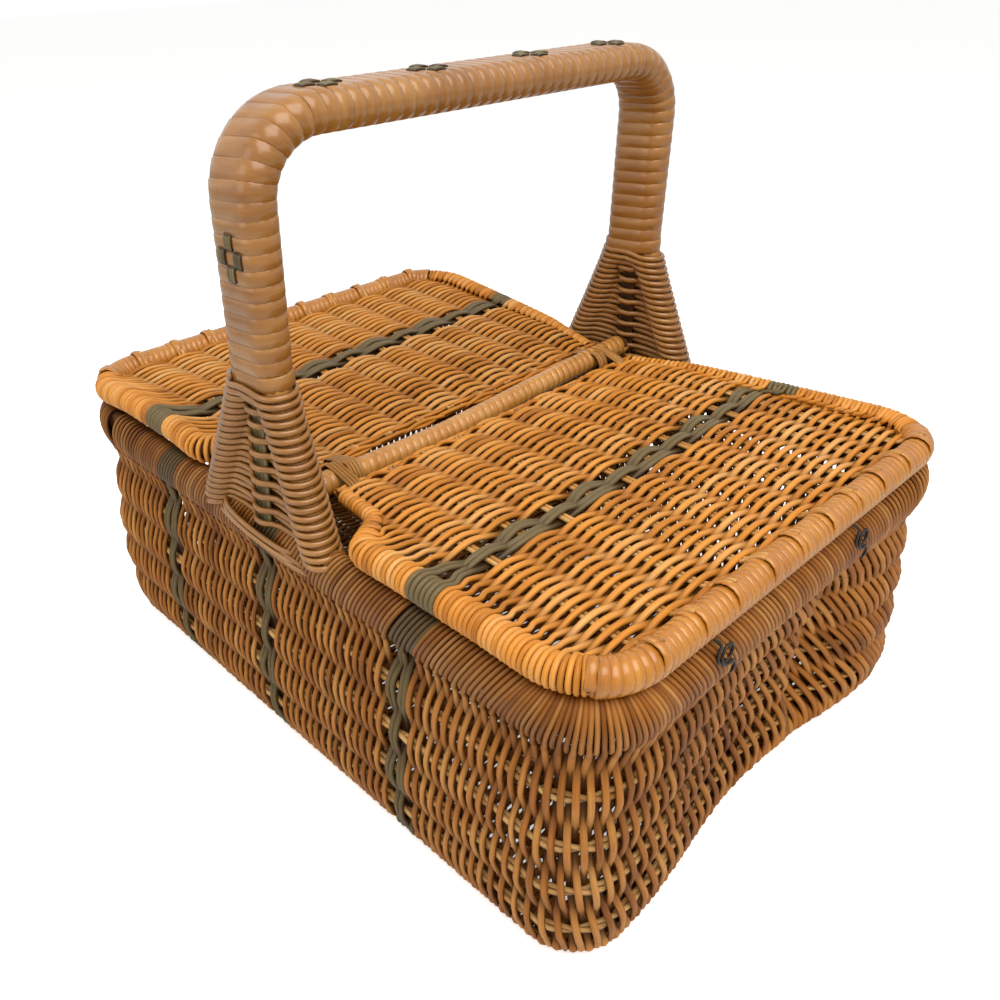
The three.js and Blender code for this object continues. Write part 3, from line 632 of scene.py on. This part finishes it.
def side_route(back):
    """The centreline of a lid's side rod as points from the hinge to half-way round the end's corner,
    with its radius: cut back at the knee, straight to the corner, then a quarter circle. Each point is
    eased towards its neighbours, and the rod grows from its thin end at the knee."""
    turn = np.linspace(0, np.pi / 2, 13)
    knee, corner_x = np.array(LID_KNEE), LID_END_X - RIM_CORNER
    if back:
        start = np.array([corner_x, LID_SIDE_Y - LID_BACK_INSET])
        side = knee + (start - knee) * np.linspace(0, 1, 24)[:, None]
        reach, thick, growth = RIM_CORNER - LID_BACK_INSET * np.cos(turn), corner_x, 0.4
    else:
        start = np.array([LID_SHOULDER_X, LID_SIDE_Y])
        straight = coords(np.linspace(LID_SHOULDER_X + 5, corner_x, 20), LID_SIDE_Y)
        side = np.concatenate([knee + (start - knee) * np.linspace(0, 1, 7)[:, None], straight])
        reach, thick, growth = RIM_CORNER, LID_SHOULDER_X - 2, 1.0
    bend = coords(corner_x + RIM_CORNER * np.sin(turn), LID_SIDE_Y - RIM_CORNER + reach * np.cos(turn))
    hinge = coords(np.linspace(17.3, LID_KNEE[0] - 3, 5), np.linspace(LID_HINGE_Y, LID_KNEE[1] - 0.5, 5))
    route = np.concatenate([hinge, side, bend[1:]])
    eased = (route[:-2] + 2 * route[1:-1] + route[2:]) / 4
    route = np.concatenate([route[:1], eased, route[-1:]])
    return route, NOTCH_ROD + (SIDE_ROD - NOTCH_ROD) * part_way(route[:, 0], LID_KNEE[0], thick) ** growth


side_routes = (side_route(False), side_route(True))


def line_at(line, marks, way):
    """Points of a line: each coordinate read off between the marks of its points."""
    return np.stack([np.interp(way, marks, line[:, i]) for i in range(line.shape[1])], axis=-1)


def heading(line, marks, way, step):
    """The direction of a line, from the point a step back to the point a step on."""
    return unit(line_at(line, marks, way + step) - line_at(line, marks, way - step))


def lid_rows(hand, side):
    """The paths of a lid's rows, with the wave of the weave as a fourth number, and which are dark.
    A row's height is a cosine between the stakes, which goes on past the outer ones, by a share of
    their 24 mm gap that grows with the room left, so that the row comes over or under the side rod.
    There it turns round the rod in a plane across it."""
    rows = np.arange(LID_ROWS)
    stood, over, pair, dark = dark_strands(LID_ROW_START + CANE_PITCH * rows, [LID_DARK[hand]],
                                           np.where(rows % 2, 1.0, -1.0))
    tied = rows / (LID_ROWS - 1)
    tied = ROW_SHARE[0] + ROW_SHARE[1] * (tied + ROW_SLIP[hand] * np.sin(np.pi * tied))
    places, past = [], []
    for (route, radii), last_stake in zip(side_routes, (0, LID_STAKES - 1)):
        marks = lengths_along(route)
        marks = marks / marks[-1]
        spot, radius = line_at(route, marks, tied), np.interp(tied, marks, radii)
        free = spot[:, 1] - radius - np.abs(stake_line(last_stake, spot[:, 0]))
        places.append((spot, heading(route, marks, tied, 0.01), radius - CANE / 2))
        past.append(np.clip((free + 2) / 24, *ROW_PAST)[:, None])
    share = np.linspace(0, 1, 8 * (LID_STAKES + 1) + 1)
    turn = np.pi * (-past[0] + (LID_STAKES - 1 + past[0] + past[1]) * share)
    wave = -over[:, None] * np.cos(turn)
    bow = np.interp(share, [0, 0.5, 1], LID_BOW[hand]) * np.sin(np.pi * (rows[:, None] + 1) / (LID_ROWS + 1))
    x = stood[:, None] + pair[:, None] * (CANE_PITCH + PAIR_SWING * wave) + bow
    drift = ROW_DRIFT * np.sin(turn / 3 + rows[:, None] / 5.0)
    z = lid_level(x) + LID_WAVE * wave + dice.normal(0, ROW_UNEVEN, x.shape)
    whole = [coords(side * (x + drift), stake_line(turn / np.pi, x), z, wave)]
    for (spot, way, reach), sign, last in zip(places, (-1, 1), (0, -1)):
        outward = coords(side * -way[:, 1], sign * way[:, 0])[:, None]
        high = np.where(wave[:, [last]] > 0, 1.0, -1.0)
        angles = np.radians(ROW_TURN) * high
        around = ROW_ROOM * reach[:, None]
        inwards, rise = around * np.cos(angles), around * np.sin(angles)
        inwards[:, 0], rise[:, 0] = ROW_MEETS_ROD[0] * reach, ROW_MEETS_ROD[1] * reach * high[:, 0]
        across = (spot * (side, sign))[:, None] - outward * inwards[..., None]
        lift = lid_level(spot[:, :1]) + rise
        end = np.concatenate([across, coords(lift, high)], axis=-1)
        whole = [end[:, ::-1], *whole] if sign < 0 else [*whole, end]
    return np.concatenate(whole, axis=1), dark


# The lids' cane has the light on it: golden, with a thin old varnish. The rods' is dark and dull.

lid_cane = peeled_cane("peeled_cane_lids", "9a5a12", "d48c33", "dcab6a", dark="6b5c3c", rough=0.45, coat=0.1)
rod_cane = peeled_cane("peeled_cane_lid_cores", "3c2410", "5c3a18", "7c5426", rough=0.7)
for hand, side in LIDS:
    controls, dark = lid_rows(hand, side)
    rows = flowing(controls, 2)
    wave, rows = rows[..., 3], warped(rows[..., :3], hand)
    widths = np.interp(np.linspace(0, 1, rows.shape[1]), [0, 0.1, 0.14, 0.86, 0.9, 1],
                       [LID_END_CANE, LID_END_CANE, LID_CANE, LID_CANE, LID_END_CANE, LID_END_CANE])
    widths = widths * dice.normal(1, 0.04, (LID_ROWS, 1))
    piece = canes(f"{hand}_lid_rows", rows, np.cross((1.0, 0, 0), np.gradient(rows, axis=1)), widths,
                  CANE_DEPTH, dice.random(LID_ROWS), dark, sides=8, wave=wave)
    fit(piece, lid_cane, f"{hand}_lid", [f"{hand}_lid_panel"])

# Under the rows of a lid: pairs of thin stakes that rise at the end and lie over the end rod, and
# the rod itself, one stout cane bent round three sides.

STAKE_CANE = 2.5
STAKE_BESIDE = 1.3
STAKE_TIPS = (196.0, 200.5, 203.5, 206.5, 209.5)
TIP_LIFTS = (0.4, 3.0, 6.4, 8.4, 8.9)


def round_lid(side, first, gap, count):
    """The centreline of a lid's rod with its radius: the side routes from their point number first
    on, and between them count points across the end, short of the corners by the gap."""
    (front, front_radii), (back, back_radii) = side_routes
    end_y = np.linspace(-LID_SIDE_Y + RIM_CORNER + gap, LID_SIDE_Y - RIM_CORNER - gap, count)
    end = coords(LID_END_X, end_y)
    route = np.concatenate([front[first:] * (1, -1), end, back[first:][::-1]])
    radii = np.concatenate([front_radii[first:], np.full(count, SIDE_ROD), back_radii[first:][::-1]])
    return np.concatenate([route * (side, 1), lid_level(route[:, :1])], axis=1), radii


for hand, side in LIDS:
    paths = []
    for number in range(LID_STAKES):
        for beside in (-STAKE_BESIDE, STAKE_BESIDE):
            x = np.concatenate([[15.0], np.linspace(22, 190, 18), STAKE_TIPS])
            y = stake_line(number, x) + beside + 0.25 * np.sin(x / 17 + number)
            lift = np.interp(x, [15, 19, 190, *STAKE_TIPS], [1.8, 0, 0, *TIP_LIFTS])
            x = x + (x > 205) * dice.normal(0, 0.5)
            paths.append(coords(side * x, y, lid_level(x) + lift))
    stakes = warped(flowing(np.stack(paths), 2), hand)
    piece = canes(f"{hand}_lid_stakes", stakes, (0, 0, 1), STAKE_CANE, STAKE_CANE, dice.random(len(paths)))
    fit(piece, stake_cane, f"{hand}_lid",
        [f"{hand}_lid_stake_{i + 1}" for i in range(LID_STAKES)])
    line, radii = round_lid(side, 0, 8, 12)
    thick = 2 * (radii - CANE + 0.2)[None]
    piece = canes(f"{hand}_lid_core", warped(line, hand)[None], (0, 0, 1), thick, thick, 0.4, sides=8)
    fit(piece, rod_cane, f"{hand}_lid", [f"{hand}_lid_frame"])

# The end rod of a lid: flat glossy cane lapped edge to edge round the rod and over the stakes' ends,
# from corner to corner.

LAP_PITCH = 3.9
LAP_STEPS = 16
STRIP_THICK = 1.5


def strip_width(spot, steps):
    """The distance from each point of a winding to the point one turn on, and an eighth more, which
    the rounded edges of a strip take up."""
    gap = np.linalg.norm(spot[steps:] - spot[:-steps], axis=-1) * 1.13
    return np.concatenate([gap, gap[-steps:]])[None]


def lapped(route, radius, pitch):
    """The path of a strip wound round a route in turns of one pitch: a circle of the given radius
    across the route while it moves on along it. With it come the outward direction, the angle and the
    strip's width, which is the distance to the next turn, so that the turns meet edge to edge."""
    marks = lengths_along(route)
    turns = int((marks[-1] - pitch) / pitch)
    way = np.linspace(0, turns * pitch, turns * LAP_STEPS + 1) + pitch / 2
    angle = 2 * np.pi * np.arange(turns * LAP_STEPS + 1) / LAP_STEPS
    ahead = heading(route, marks, way, 1)
    level_side = unit(np.cross(ahead, (0, 0, 1.0)))
    facing = level_side * np.cos(angle)[:, None] + np.cross(level_side, ahead) * np.sin(angle)[:, None]
    spot = line_at(route, marks, way) + facing * radius
    return spot, facing, angle, strip_width(spot, LAP_STEPS)


# Flat strips of the cane's own glossy skin: amber, with a bright line along each.

glossy_cane = peeled_cane("flat_glossy_cane", "8c5006", "b87620", "d49c4a", rough=0.32, coat=0.45, grain=0.2,
                          gloss=0.4)
for hand, side in LIDS:
    spot, facing, angle, width = lapped(round_lid(side, -8, 4, 40)[0], SIDE_ROD - 0.55, LAP_PITCH)
    nearest = np.abs((spot[:, 1] - stake_line(0, 205)) / END_STAKES[1] % 1 - 0.5) * 2
    over_stake = 1.5 * part_way(nearest, 0.72, 0.9) * np.clip(np.sin(angle) * 1.4, 0, 1)
    spot = warped(spot + facing * over_stake[:, None], hand)
    piece = canes(f"{hand}_lid_end_lapping", spot[None], facing[None], width, STRIP_THICK, 0.5, sides=8,
                  flat=0.55)
    fit(piece, glossy_cane, f"{hand}_lid")

# The hinge edge of a lid: three canes twined about the stakes' ends, the outer two nearly straight
# and the inner one in scallops, and cane loops tied round it and the hinge bar.

LOOP_PLACE = {"right": 108.0, "left": 100.0}
LOOP_ROUND_BAR = 8.6
LOOP_ROUND_EDGE = 4.2
BAR_LEVEL = 161.0
BAR_RADIUS = 7.0
y = np.linspace(-LID_HINGE_Y - 2, LID_HINGE_Y + 2, 200)
turn = 2 * np.pi * (y - stake_line(0, STAKE_STARTS[0])) / HINGE_STAKES[1]
twine = ((13.2, -0.5, 0.6, 1.1 * np.cos(turn / 2)), (13.8, 0.5, 0.6, -1.1 * np.cos(turn / 2)),
         (17.0, 1.6, 2.2, -0.8 * np.cos(turn)))
far = np.hypot(LID_EDGE_X, LID_HINGE_LEVEL - BAR_LEVEL) + 1.5
bar_turn = np.linspace(np.pi / 2 + 0.2, 3 * np.pi / 2 - 0.2, 13)
edge_turn = np.linspace(-np.pi / 2 + 0.2, np.pi / 2 - 0.2, 9)
loop_x = np.concatenate([LOOP_ROUND_BAR * np.cos(bar_turn), far + LOOP_ROUND_EDGE * np.cos(edge_turn)])
loop_z = np.concatenate([LOOP_ROUND_BAR * np.sin(bar_turn), LOOP_ROUND_EDGE * np.sin(edge_turn)])
loop_z = loop_z + BAR_LEVEL + 0.5
for hand, side in LIDS:
    edges = [coords(side * (out + swing * np.cos(turn)), y, LID_HINGE_LEVEL + up + lift)
             for out, swing, up, lift in twine]
    piece = canes(f"{hand}_lid_hinge_edge", np.stack(edges), (0, 0, 1), 3.0, 2.8, dice.random(3))
    fit(piece, lid_cane, f"{hand}_lid", [f"{hand}_lid_edge_rod"])
    loops = [coords(side * loop_x, place + beside, loop_z)
             for place in (-LOOP_PLACE[hand], LOOP_PLACE[hand]) for beside in (-3.0, -1.0, 1.0, 3.0)]
    loops = flowing(np.stack(loops), 2, joined=True)
    outward = loops - loops.mean(axis=1, keepdims=True)
    piece = canes(f"{hand}_hinge_loops", loops, outward, 2.0, 1.5, dice.random(len(loops)), 0.5, joined=True)
    fit(piece, lid_cane, f"{hand}_lid", [f"{hand}_hinge_loop_{i}" for i in (1, 2)])

# The hinge bar: a stout cane across the basket, bedded on the rim and lapped edge to edge with split
# cane; it sags a little in the middle and its ends are bound into the legs.

BAR_PITCH = 5.1
BAR_CORE = 11.4
bar_y = np.linspace(-136.0, 136.0, 80)
bar_x = np.interp(bar_y, [-136, -31, 40, 136], [1.0, 0.0, -2.0, -4.0])
bar_z = np.interp(bar_y, [-136, -115, -60, -31, 0, 40, 100, 136],
                  [162.5, 162.0, 159.8, 159.4, 160.0, 161.4, 163.4, 164.0])
bar_line = flowing(coords(bar_x, bar_y, bar_z)[None], 2)
piece = canes("hinge_bar_core", bar_line, (0, 0, 1), BAR_CORE, BAR_CORE, 0.5, sides=8)
fit(piece, core_cane, instead_of=["hinge_bar"])

# Split cane, skin outwards: glossy and a little paler.

bar_cane = peeled_cane("split_cane_bar", "8c5418", "c0863f", "daac6c", rough=0.33, coat=0.35, grain=0.2,
                       gloss=0.4)
spot, facing, angle, width = lapped(bar_line[0], BAR_RADIUS - 0.85, BAR_PITCH)
piece = canes("hinge_bar_lapping", spot[None], facing[None], width, STRIP_THICK, 0.5, sides=8, flat=0.6)
fit(piece, bar_cane)

# The handle: two stout rods side by side, bent over and parted into an A over each long side, where
# they stand on the rim. Their ends are cut to sit on it.

HANDLE_TOP = 342.0
HANDLE_BEND = 33.0
HANDLE_Y = 139.5
FOOT_Y = 143.8
HANDLE_ROD = 15.4
ROD_X = 9.15
SPLIT = 239.0
FOOT_SPREAD = 42.0
SPREAD_EASE = 10.0
LEAN_AT_RIM = (-3.8, -3.4, 0.0)
LEAN_TO_TOP = (4.5, 6.6, 0.0)


def swayed(points):
    """The handle is bent by hand: it leans a little towards the back and the right-hand lid, both in
    proportion to the height above the rim."""
    up = (points[..., 2:] - RIM_TOP) / (HANDLE_TOP - RIM_TOP)
    return points + LEAN_AT_RIM + LEAN_TO_TOP * up


def leg_y(z):
    """The distance of a leg from the middle plane: straight from the rim up to where its rods part."""
    return FOOT_Y + (HANDLE_Y - FOOT_Y) * part_way(z, RIM_TOP, SPLIT)


def spread(z):
    """How far a leg's rods stand from its middle: side by side above the split, then ever straighter."""
    below = np.maximum(SPLIT - z, 0)
    total = (SPLIT - RIM_TOP) ** 2 / (SPLIT - RIM_TOP + SPREAD_EASE)
    return ROD_X + (FOOT_SPREAD - ROD_X) * (below ** 2 / (below + SPREAD_EASE)) / total


def over_top(up_y, up_z, bend_steps, across):
    """A line up one leg, carried on round a quarter circle, over the top and down the other leg the
    same way back, as distances from the middle plane and heights."""
    bend = np.linspace(0, np.pi / 2, bend_steps)[1:]
    up_y = np.concatenate([up_y, -HANDLE_Y + HANDLE_BEND * (1 - np.cos(bend))])
    up_z = np.concatenate([up_z, HANDLE_TOP - HANDLE_BEND + HANDLE_BEND * np.sin(bend)])
    middle = np.linspace(-HANDLE_Y + HANDLE_BEND, HANDLE_Y - HANDLE_BEND, across)[1:-1]
    up, down = coords(up_y, up_z), coords(-up_y[::-1], up_z[::-1])
    return np.concatenate([up, coords(middle, HANDLE_TOP), down])


rise = np.linspace(RIM_TOP - 8, HANDLE_TOP - HANDLE_BEND, 30)
rod_line = over_top(-leg_y(rise), rise, 9, 24)
rod_x = spread(rod_line[:, 1])
rods = [coords(side * rod_x, rod_line[:, 0], rod_line[:, 1]) for side in (1, -1)]

# Stout cane, rubbed smooth: brown, with a soft shine.

handle_cane = peeled_cane("stout_cane_rods", "6e4216", "a06c30", "c09050", rough=0.4, coat=0.2)
piece = canes("handle_rods", swayed(np.stack(rods)), (1.0, 0, 0), HANDLE_ROD, HANDLE_ROD, (0.4, 0.6),
              sides=12)
fit(piece, handle_cane, instead_of=["handle_rod_right", "handle_rod_left"])

# The grip's lapping: flat glossy cane 7 mm wide, wound edge to edge round both rods from one A to
# the other.

LAPPING_PITCH = 7.0
LAPPING_WIDEST = 10.35
LAPPING_THICK = 1.7
GRIP_STEPS = 24
rise = np.linspace(SPLIT - 11, HANDLE_TOP - HANDLE_BEND, 20)
grip_line = over_top(np.full(20, -HANDLE_Y), rise, 13, 40)
grip_way = lengths_along(grip_line)


def round_grip(way, angle, reach):
    """A point round both rods: half a circle of radius reach round each and straight runs between,
    at the angle given, way millimetres along the grip."""
    y, z = line_at(grip_line, grip_way, way).T
    ahead = heading(grip_line, grip_way, way, 1.5)
    apart = np.where(z < SPLIT, spread(z), ROD_X)
    flat_share = 2 * apart / (2 * apart + np.pi * reach)
    part = np.mod(angle, 2 * np.pi) / np.pi
    side = np.where(part < 1, 1, -1)
    part = np.mod(part, 1)
    flat = np.clip(part / flat_share, 0, 1)
    bend = part_way(part, flat_share, 1) * np.pi
    x = side * (-apart + 2 * apart * flat + reach * np.sin(bend))
    normal = side * np.cos(bend)
    spot = coords(x, y - ahead[..., 1] * reach * normal, z + ahead[..., 0] * reach * normal)
    return spot, coords(side * np.sin(bend), -ahead[..., 1] * normal, ahead[..., 0] * normal)


count = int(grip_way[-1] / LAPPING_PITCH) * GRIP_STEPS + 1
way = np.linspace(1.5, grip_way[-1] - 1.5, count)
angle = 2 * np.pi * np.arange(count) / GRIP_STEPS
spot, facing = round_grip(way, angle, (HANDLE_ROD + LAPPING_THICK) / 2)

# Glossy skin, darkened with age: brown strips with a bright line along each.

strip_cane = peeled_cane("flat_glossy_cane_grip", "6c4014", "95642a", "b48648", rough=0.32, coat=0.4,
                         grain=0.3, gloss=0.4)
width = np.minimum(strip_width(spot, GRIP_STEPS), LAPPING_WIDEST)
piece = canes("handle_lapping", swayed(spot)[None], facing[None], width, LAPPING_THICK, 0.5, sides=8,
              flat=0.55)
fit(piece, strip_cane,
    instead_of=[f"handle_lapping_{run}" for run in ("front", "top", "back")])

# Lozenges on the outer face of the grip: four dark cells each, before, behind and on each side of its
# middle. A cell is three thin stained canes over a short black-brown strip, which is painted shadow:
# the dark of the cell's recess.

LOZENGE_PLACES = (-180.0, -97.0, -35.0, 35.0, 97.0, 180.0)
CELL_HALF = 3.4
CELL_ASIDE = 6.3
SHADOW_BACKING_WIDTH = 6.6
THIN_CANE = 1.9
CELL_LIFT = 0.45
outer = HANDLE_ROD / 2 + LAPPING_THICK
half_round = 2 * ROD_X + np.pi * outer
dip = 1 - np.abs(np.linspace(-1, 1, 7)) ** 4 * 1.6
dark_paths, dark_faces = [], []
for place in LOZENGE_PLACES:
    for column, row in ((0, -1), (0, 1), (-1, 0), (1, 0)):
        for beside, lift in ((0, 0.0), (-THIN_CANE, CELL_LIFT), (0, CELL_LIFT), (THIN_CANE, CELL_LIFT)):
            way = grip_way[-1] / 2 + place + row * LAPPING_PITCH + np.linspace(-CELL_HALF, CELL_HALF, 7)
            part = (ROD_X + column * CELL_ASIDE + beside) / half_round
            spot, facing = round_grip(way, np.full(7, np.pi * part), outer + 0.15)
            dark_paths.append(swayed(spot + facing * (lift * dip)[:, None]))
            dark_faces.append(facing)

# Cane stained grey-green: pale on top and darker on its hidden side by painted shade. The black-brown, given
# to the lozenges' backing strips, is painted shadow in the cells.

dark_cane = peeled_cane("stained_cane", "3e3624", "5f5336", "857650", dark="150f08", rough=0.42, coat=0.15)
# Painted shadow: the backing strips take the black-brown dark colour, for the shade in the cells.
shadow_backing = np.arange(len(dark_paths)) % 4 == 0
widths = np.where(shadow_backing, SHADOW_BACKING_WIDTH, THIN_CANE)
piece = canes("handle_lozenges", np.stack(dark_paths), np.stack(dark_faces), widths, 1.1,
              dice.random(len(dark_paths)), shadow_backing, sides=8, flat=0.8)
fit(piece, dark_cane)

# The legs: dark strips stand between the parted rods of each leg, four outside and four inside, and
# round cane is lashed round both rods and over the strips, from the split down to the rim.

LASHING_CANE = 3.5
LASHING_PITCH = 3.75
LASHING_STEPS = 36
LASHING_ENDS = (RIM_TOP - 8, SPLIT - 10)
LASHING_SLANT = 0.8
LASHING_UNEVEN = 0.12
STEM_HALF = 5.6
STEM_STEPS = (-1.5, -0.5, 0.5, 1.5)
STEM_WIDTHS = (2.9, 1.9)
OVER_STEM = {"low": 0.8, "high": 6.4}

# A turn's course from rod to rod in twelve steps. Its place is a share of the rods' half gap, of its
# circle round a rod and of the strips' half width. Its height is a share of that circle and of its
# height over the strips, which is low and high by turns. Near the split it runs straight across.

run_marks = np.arange(13) / 12
rod_share = [-1, -1, -1, -1, 0, 0, 0, 0, 0, 1, 1, 1, 1]
round_share = [0, 0.5, 0.87, 0.98, 0, 0, 0, 0, 0, -0.98, -0.87, -0.5, 0]
stem_share = [0, 0, 0, 0, -1.45, -0.8, 0, 0.8, 1.45, 0, 0, 0, 0]
rod_height = [1, 0.87, 0.5, 0.17, 0, 0, 0, 0, 0, 0.17, 0.5, 0.87, 1]
stem_height = [0, 0, 0, 0, 0.15, 1, 1.05, 1, 0.15, 0, 0, 0, 0]
turns = int((LASHING_ENDS[1] - LASHING_ENDS[0]) / LASHING_PITCH)
turn_number, part = np.divmod(np.arange(turns * LASHING_STEPS + 1) / LASHING_STEPS, 1)
half_turn = np.mod(part * 2, 1)
side = np.where(part < 0.5, 1.0, -1.0)
run = part_way(half_turn, 0, 2 / 3)
bend = part_way(half_turn, 2 / 3, 1) * np.pi
reach = (HANDLE_ROD + LASHING_CANE) / 2
level = np.linspace(*LASHING_ENDS, len(part))
half_gap = spread(level)
parted = part_way(half_gap, 13.5, 18.5)
tables = (rod_share, round_share, stem_share, rod_height, stem_height)
from_rod, round_rod, from_stem, off_rod, off_stem = [np.interp(run, run_marks, table) for table in tables]
dipped = half_gap * from_rod + reach * round_rod + STEM_HALF * from_stem
lashing_x = side * (dipped * parted + half_gap * (2 * run - 1) * (1 - parted) + reach * np.sin(bend))
height = reach * off_rod + np.where(turn_number % 2, OVER_STEM["high"], OVER_STEM["low"]) * off_stem
out = side * np.where(bend > 0, reach * np.cos(bend), height * parted + reach * (1 - parted))
for place, side_y in (("front", -1), ("back", 1)):
    strip_z = np.linspace(RIM_TOP - 6, SPLIT - 10, 24)
    wide = np.interp(strip_z, [RIM_TOP, SPLIT], STEM_WIDTHS)
    strips = np.stack([coords(across * wide, side_y * (leg_y(strip_z) + layer), strip_z)
                       for layer in (3.0, -3.0) for across in STEM_STEPS])
    piece = canes(f"leg_strips_{place}", swayed(strips), (0, side_y, 0), 3.1, 2.6, dice.random(8), sides=8,
                  flat=0.8)
    fit(piece, dark_cane, instead_of=[f"centre_stem_{place}"])
    z = level + LASHING_SLANT * np.sin(part * 4 * np.pi) + dice.normal(0, LASHING_UNEVEN, len(part))
    lashing = coords(lashing_x, side_y * (leg_y(z) + out), z)
    middle = coords(np.clip(lashing_x, -half_gap, half_gap), side_y * leg_y(z), z)
    path, outward = flowing(swayed(lashing)[None], 2), flowing((lashing - middle)[None], 2)
    piece = canes(f"leg_lashing_{place}", path, outward, LASHING_CANE, 3.0, 0.5)
    fit(piece, strip_cane, instead_of=[f"leg_lashing_{place}"])

# The feet are tied to the rim: canes laid across its outer face from foot to foot, tucked in at both
# ends, four on each long side.

TIE_SHARES = np.array([0, 0.06, 0.14, 0.35, 0.6, 0.84, 0.93, 1])
TIE_OUT = np.array([145.0, 150.5, 153.6, 155.0, 155.2, 154.0, 150.5, 145.0])
TIE_LIFT = np.array([0, 0.3, 0.7, 1, 1, 0.7, 0.3, 0])
TIE_DROP = np.array([-3, -1, 0, 1.0, 2.4, 5.5, 7.5, 8.5])
TIES = ((-52, 149.0, 39, 0.0), (-54, 145.0, 40, 0.4), (-44, 152.5, 26, 2.2), (-46, 148.6, 30, 2.6))
ties = []
for side_y in (-1, 1):
    for start, top_z, end, lift in TIES:
        x = start + (end - start) * TIE_SHARES
        z = top_z - TIE_DROP + dice.normal(0, 0.3, 8)
        ties.append(coords(-side_y * x, side_y * (TIE_OUT + lift * TIE_LIFT), z))
ties = flowing(np.stack(ties), 6)
piece = canes("foot_ties", ties, ties * (0, 1, 0), 3.3, 2.8, dice.random(8))
fit(piece, strip_cane)

# Two curls of iron wire on the rim of the right-hand end: each comes out from under the lid, makes a
# turn and a half and runs down the rim.

WIRE = 1.5
WIRE_PLACES = (-73.0, 45.0)
CURL = (4.8, 5.0)
CURL_LEVEL = 150.0
angle = np.radians(np.linspace(110, 650, 28))
wires = []
for place in WIRE_PLACES:
    ring = coords(np.linspace(8.6, 9.6, 28), place + CURL[0] * np.cos(angle) + np.linspace(-1.5, 2.0, 28),
                  CURL_LEVEL + CURL[1] * np.sin(angle) - np.linspace(-1.0, 1.5, 28))
    above = np.array([[2.0, place - 6.0, 158.5], [6.0, place - 4.0, 158.0]])
    below = np.array([[9.0, place + 8.0, 142.0], [8.6, place + 10.5, 136.0], [5.6, place + 12.0, 130.5]])
    wires.append(np.concatenate([above, ring, below]) + (RIM_LENGTH / 2, 0, 0))
wires = flowing(np.stack(wires), 3)

# Iron wire gone black: dark metal with a dull soft shine.

wire = bpy.data.materials.new("blackened_iron_wire")
tree = bare_tree(wire)
iron = add_node(tree, "BsdfPrincipled", {"Base Color": colour("3a3632"), "Metallic": 0.8, "Roughness": 0.5})
add_node(tree, "OutputMaterial", {"Surface": iron.outputs[0]})
piece = canes("wire_curls", wires, (1.0, 0, 0), WIRE, WIRE)
fit(piece, wire, instead_of=["wire_curl_1", "wire_curl_2"])
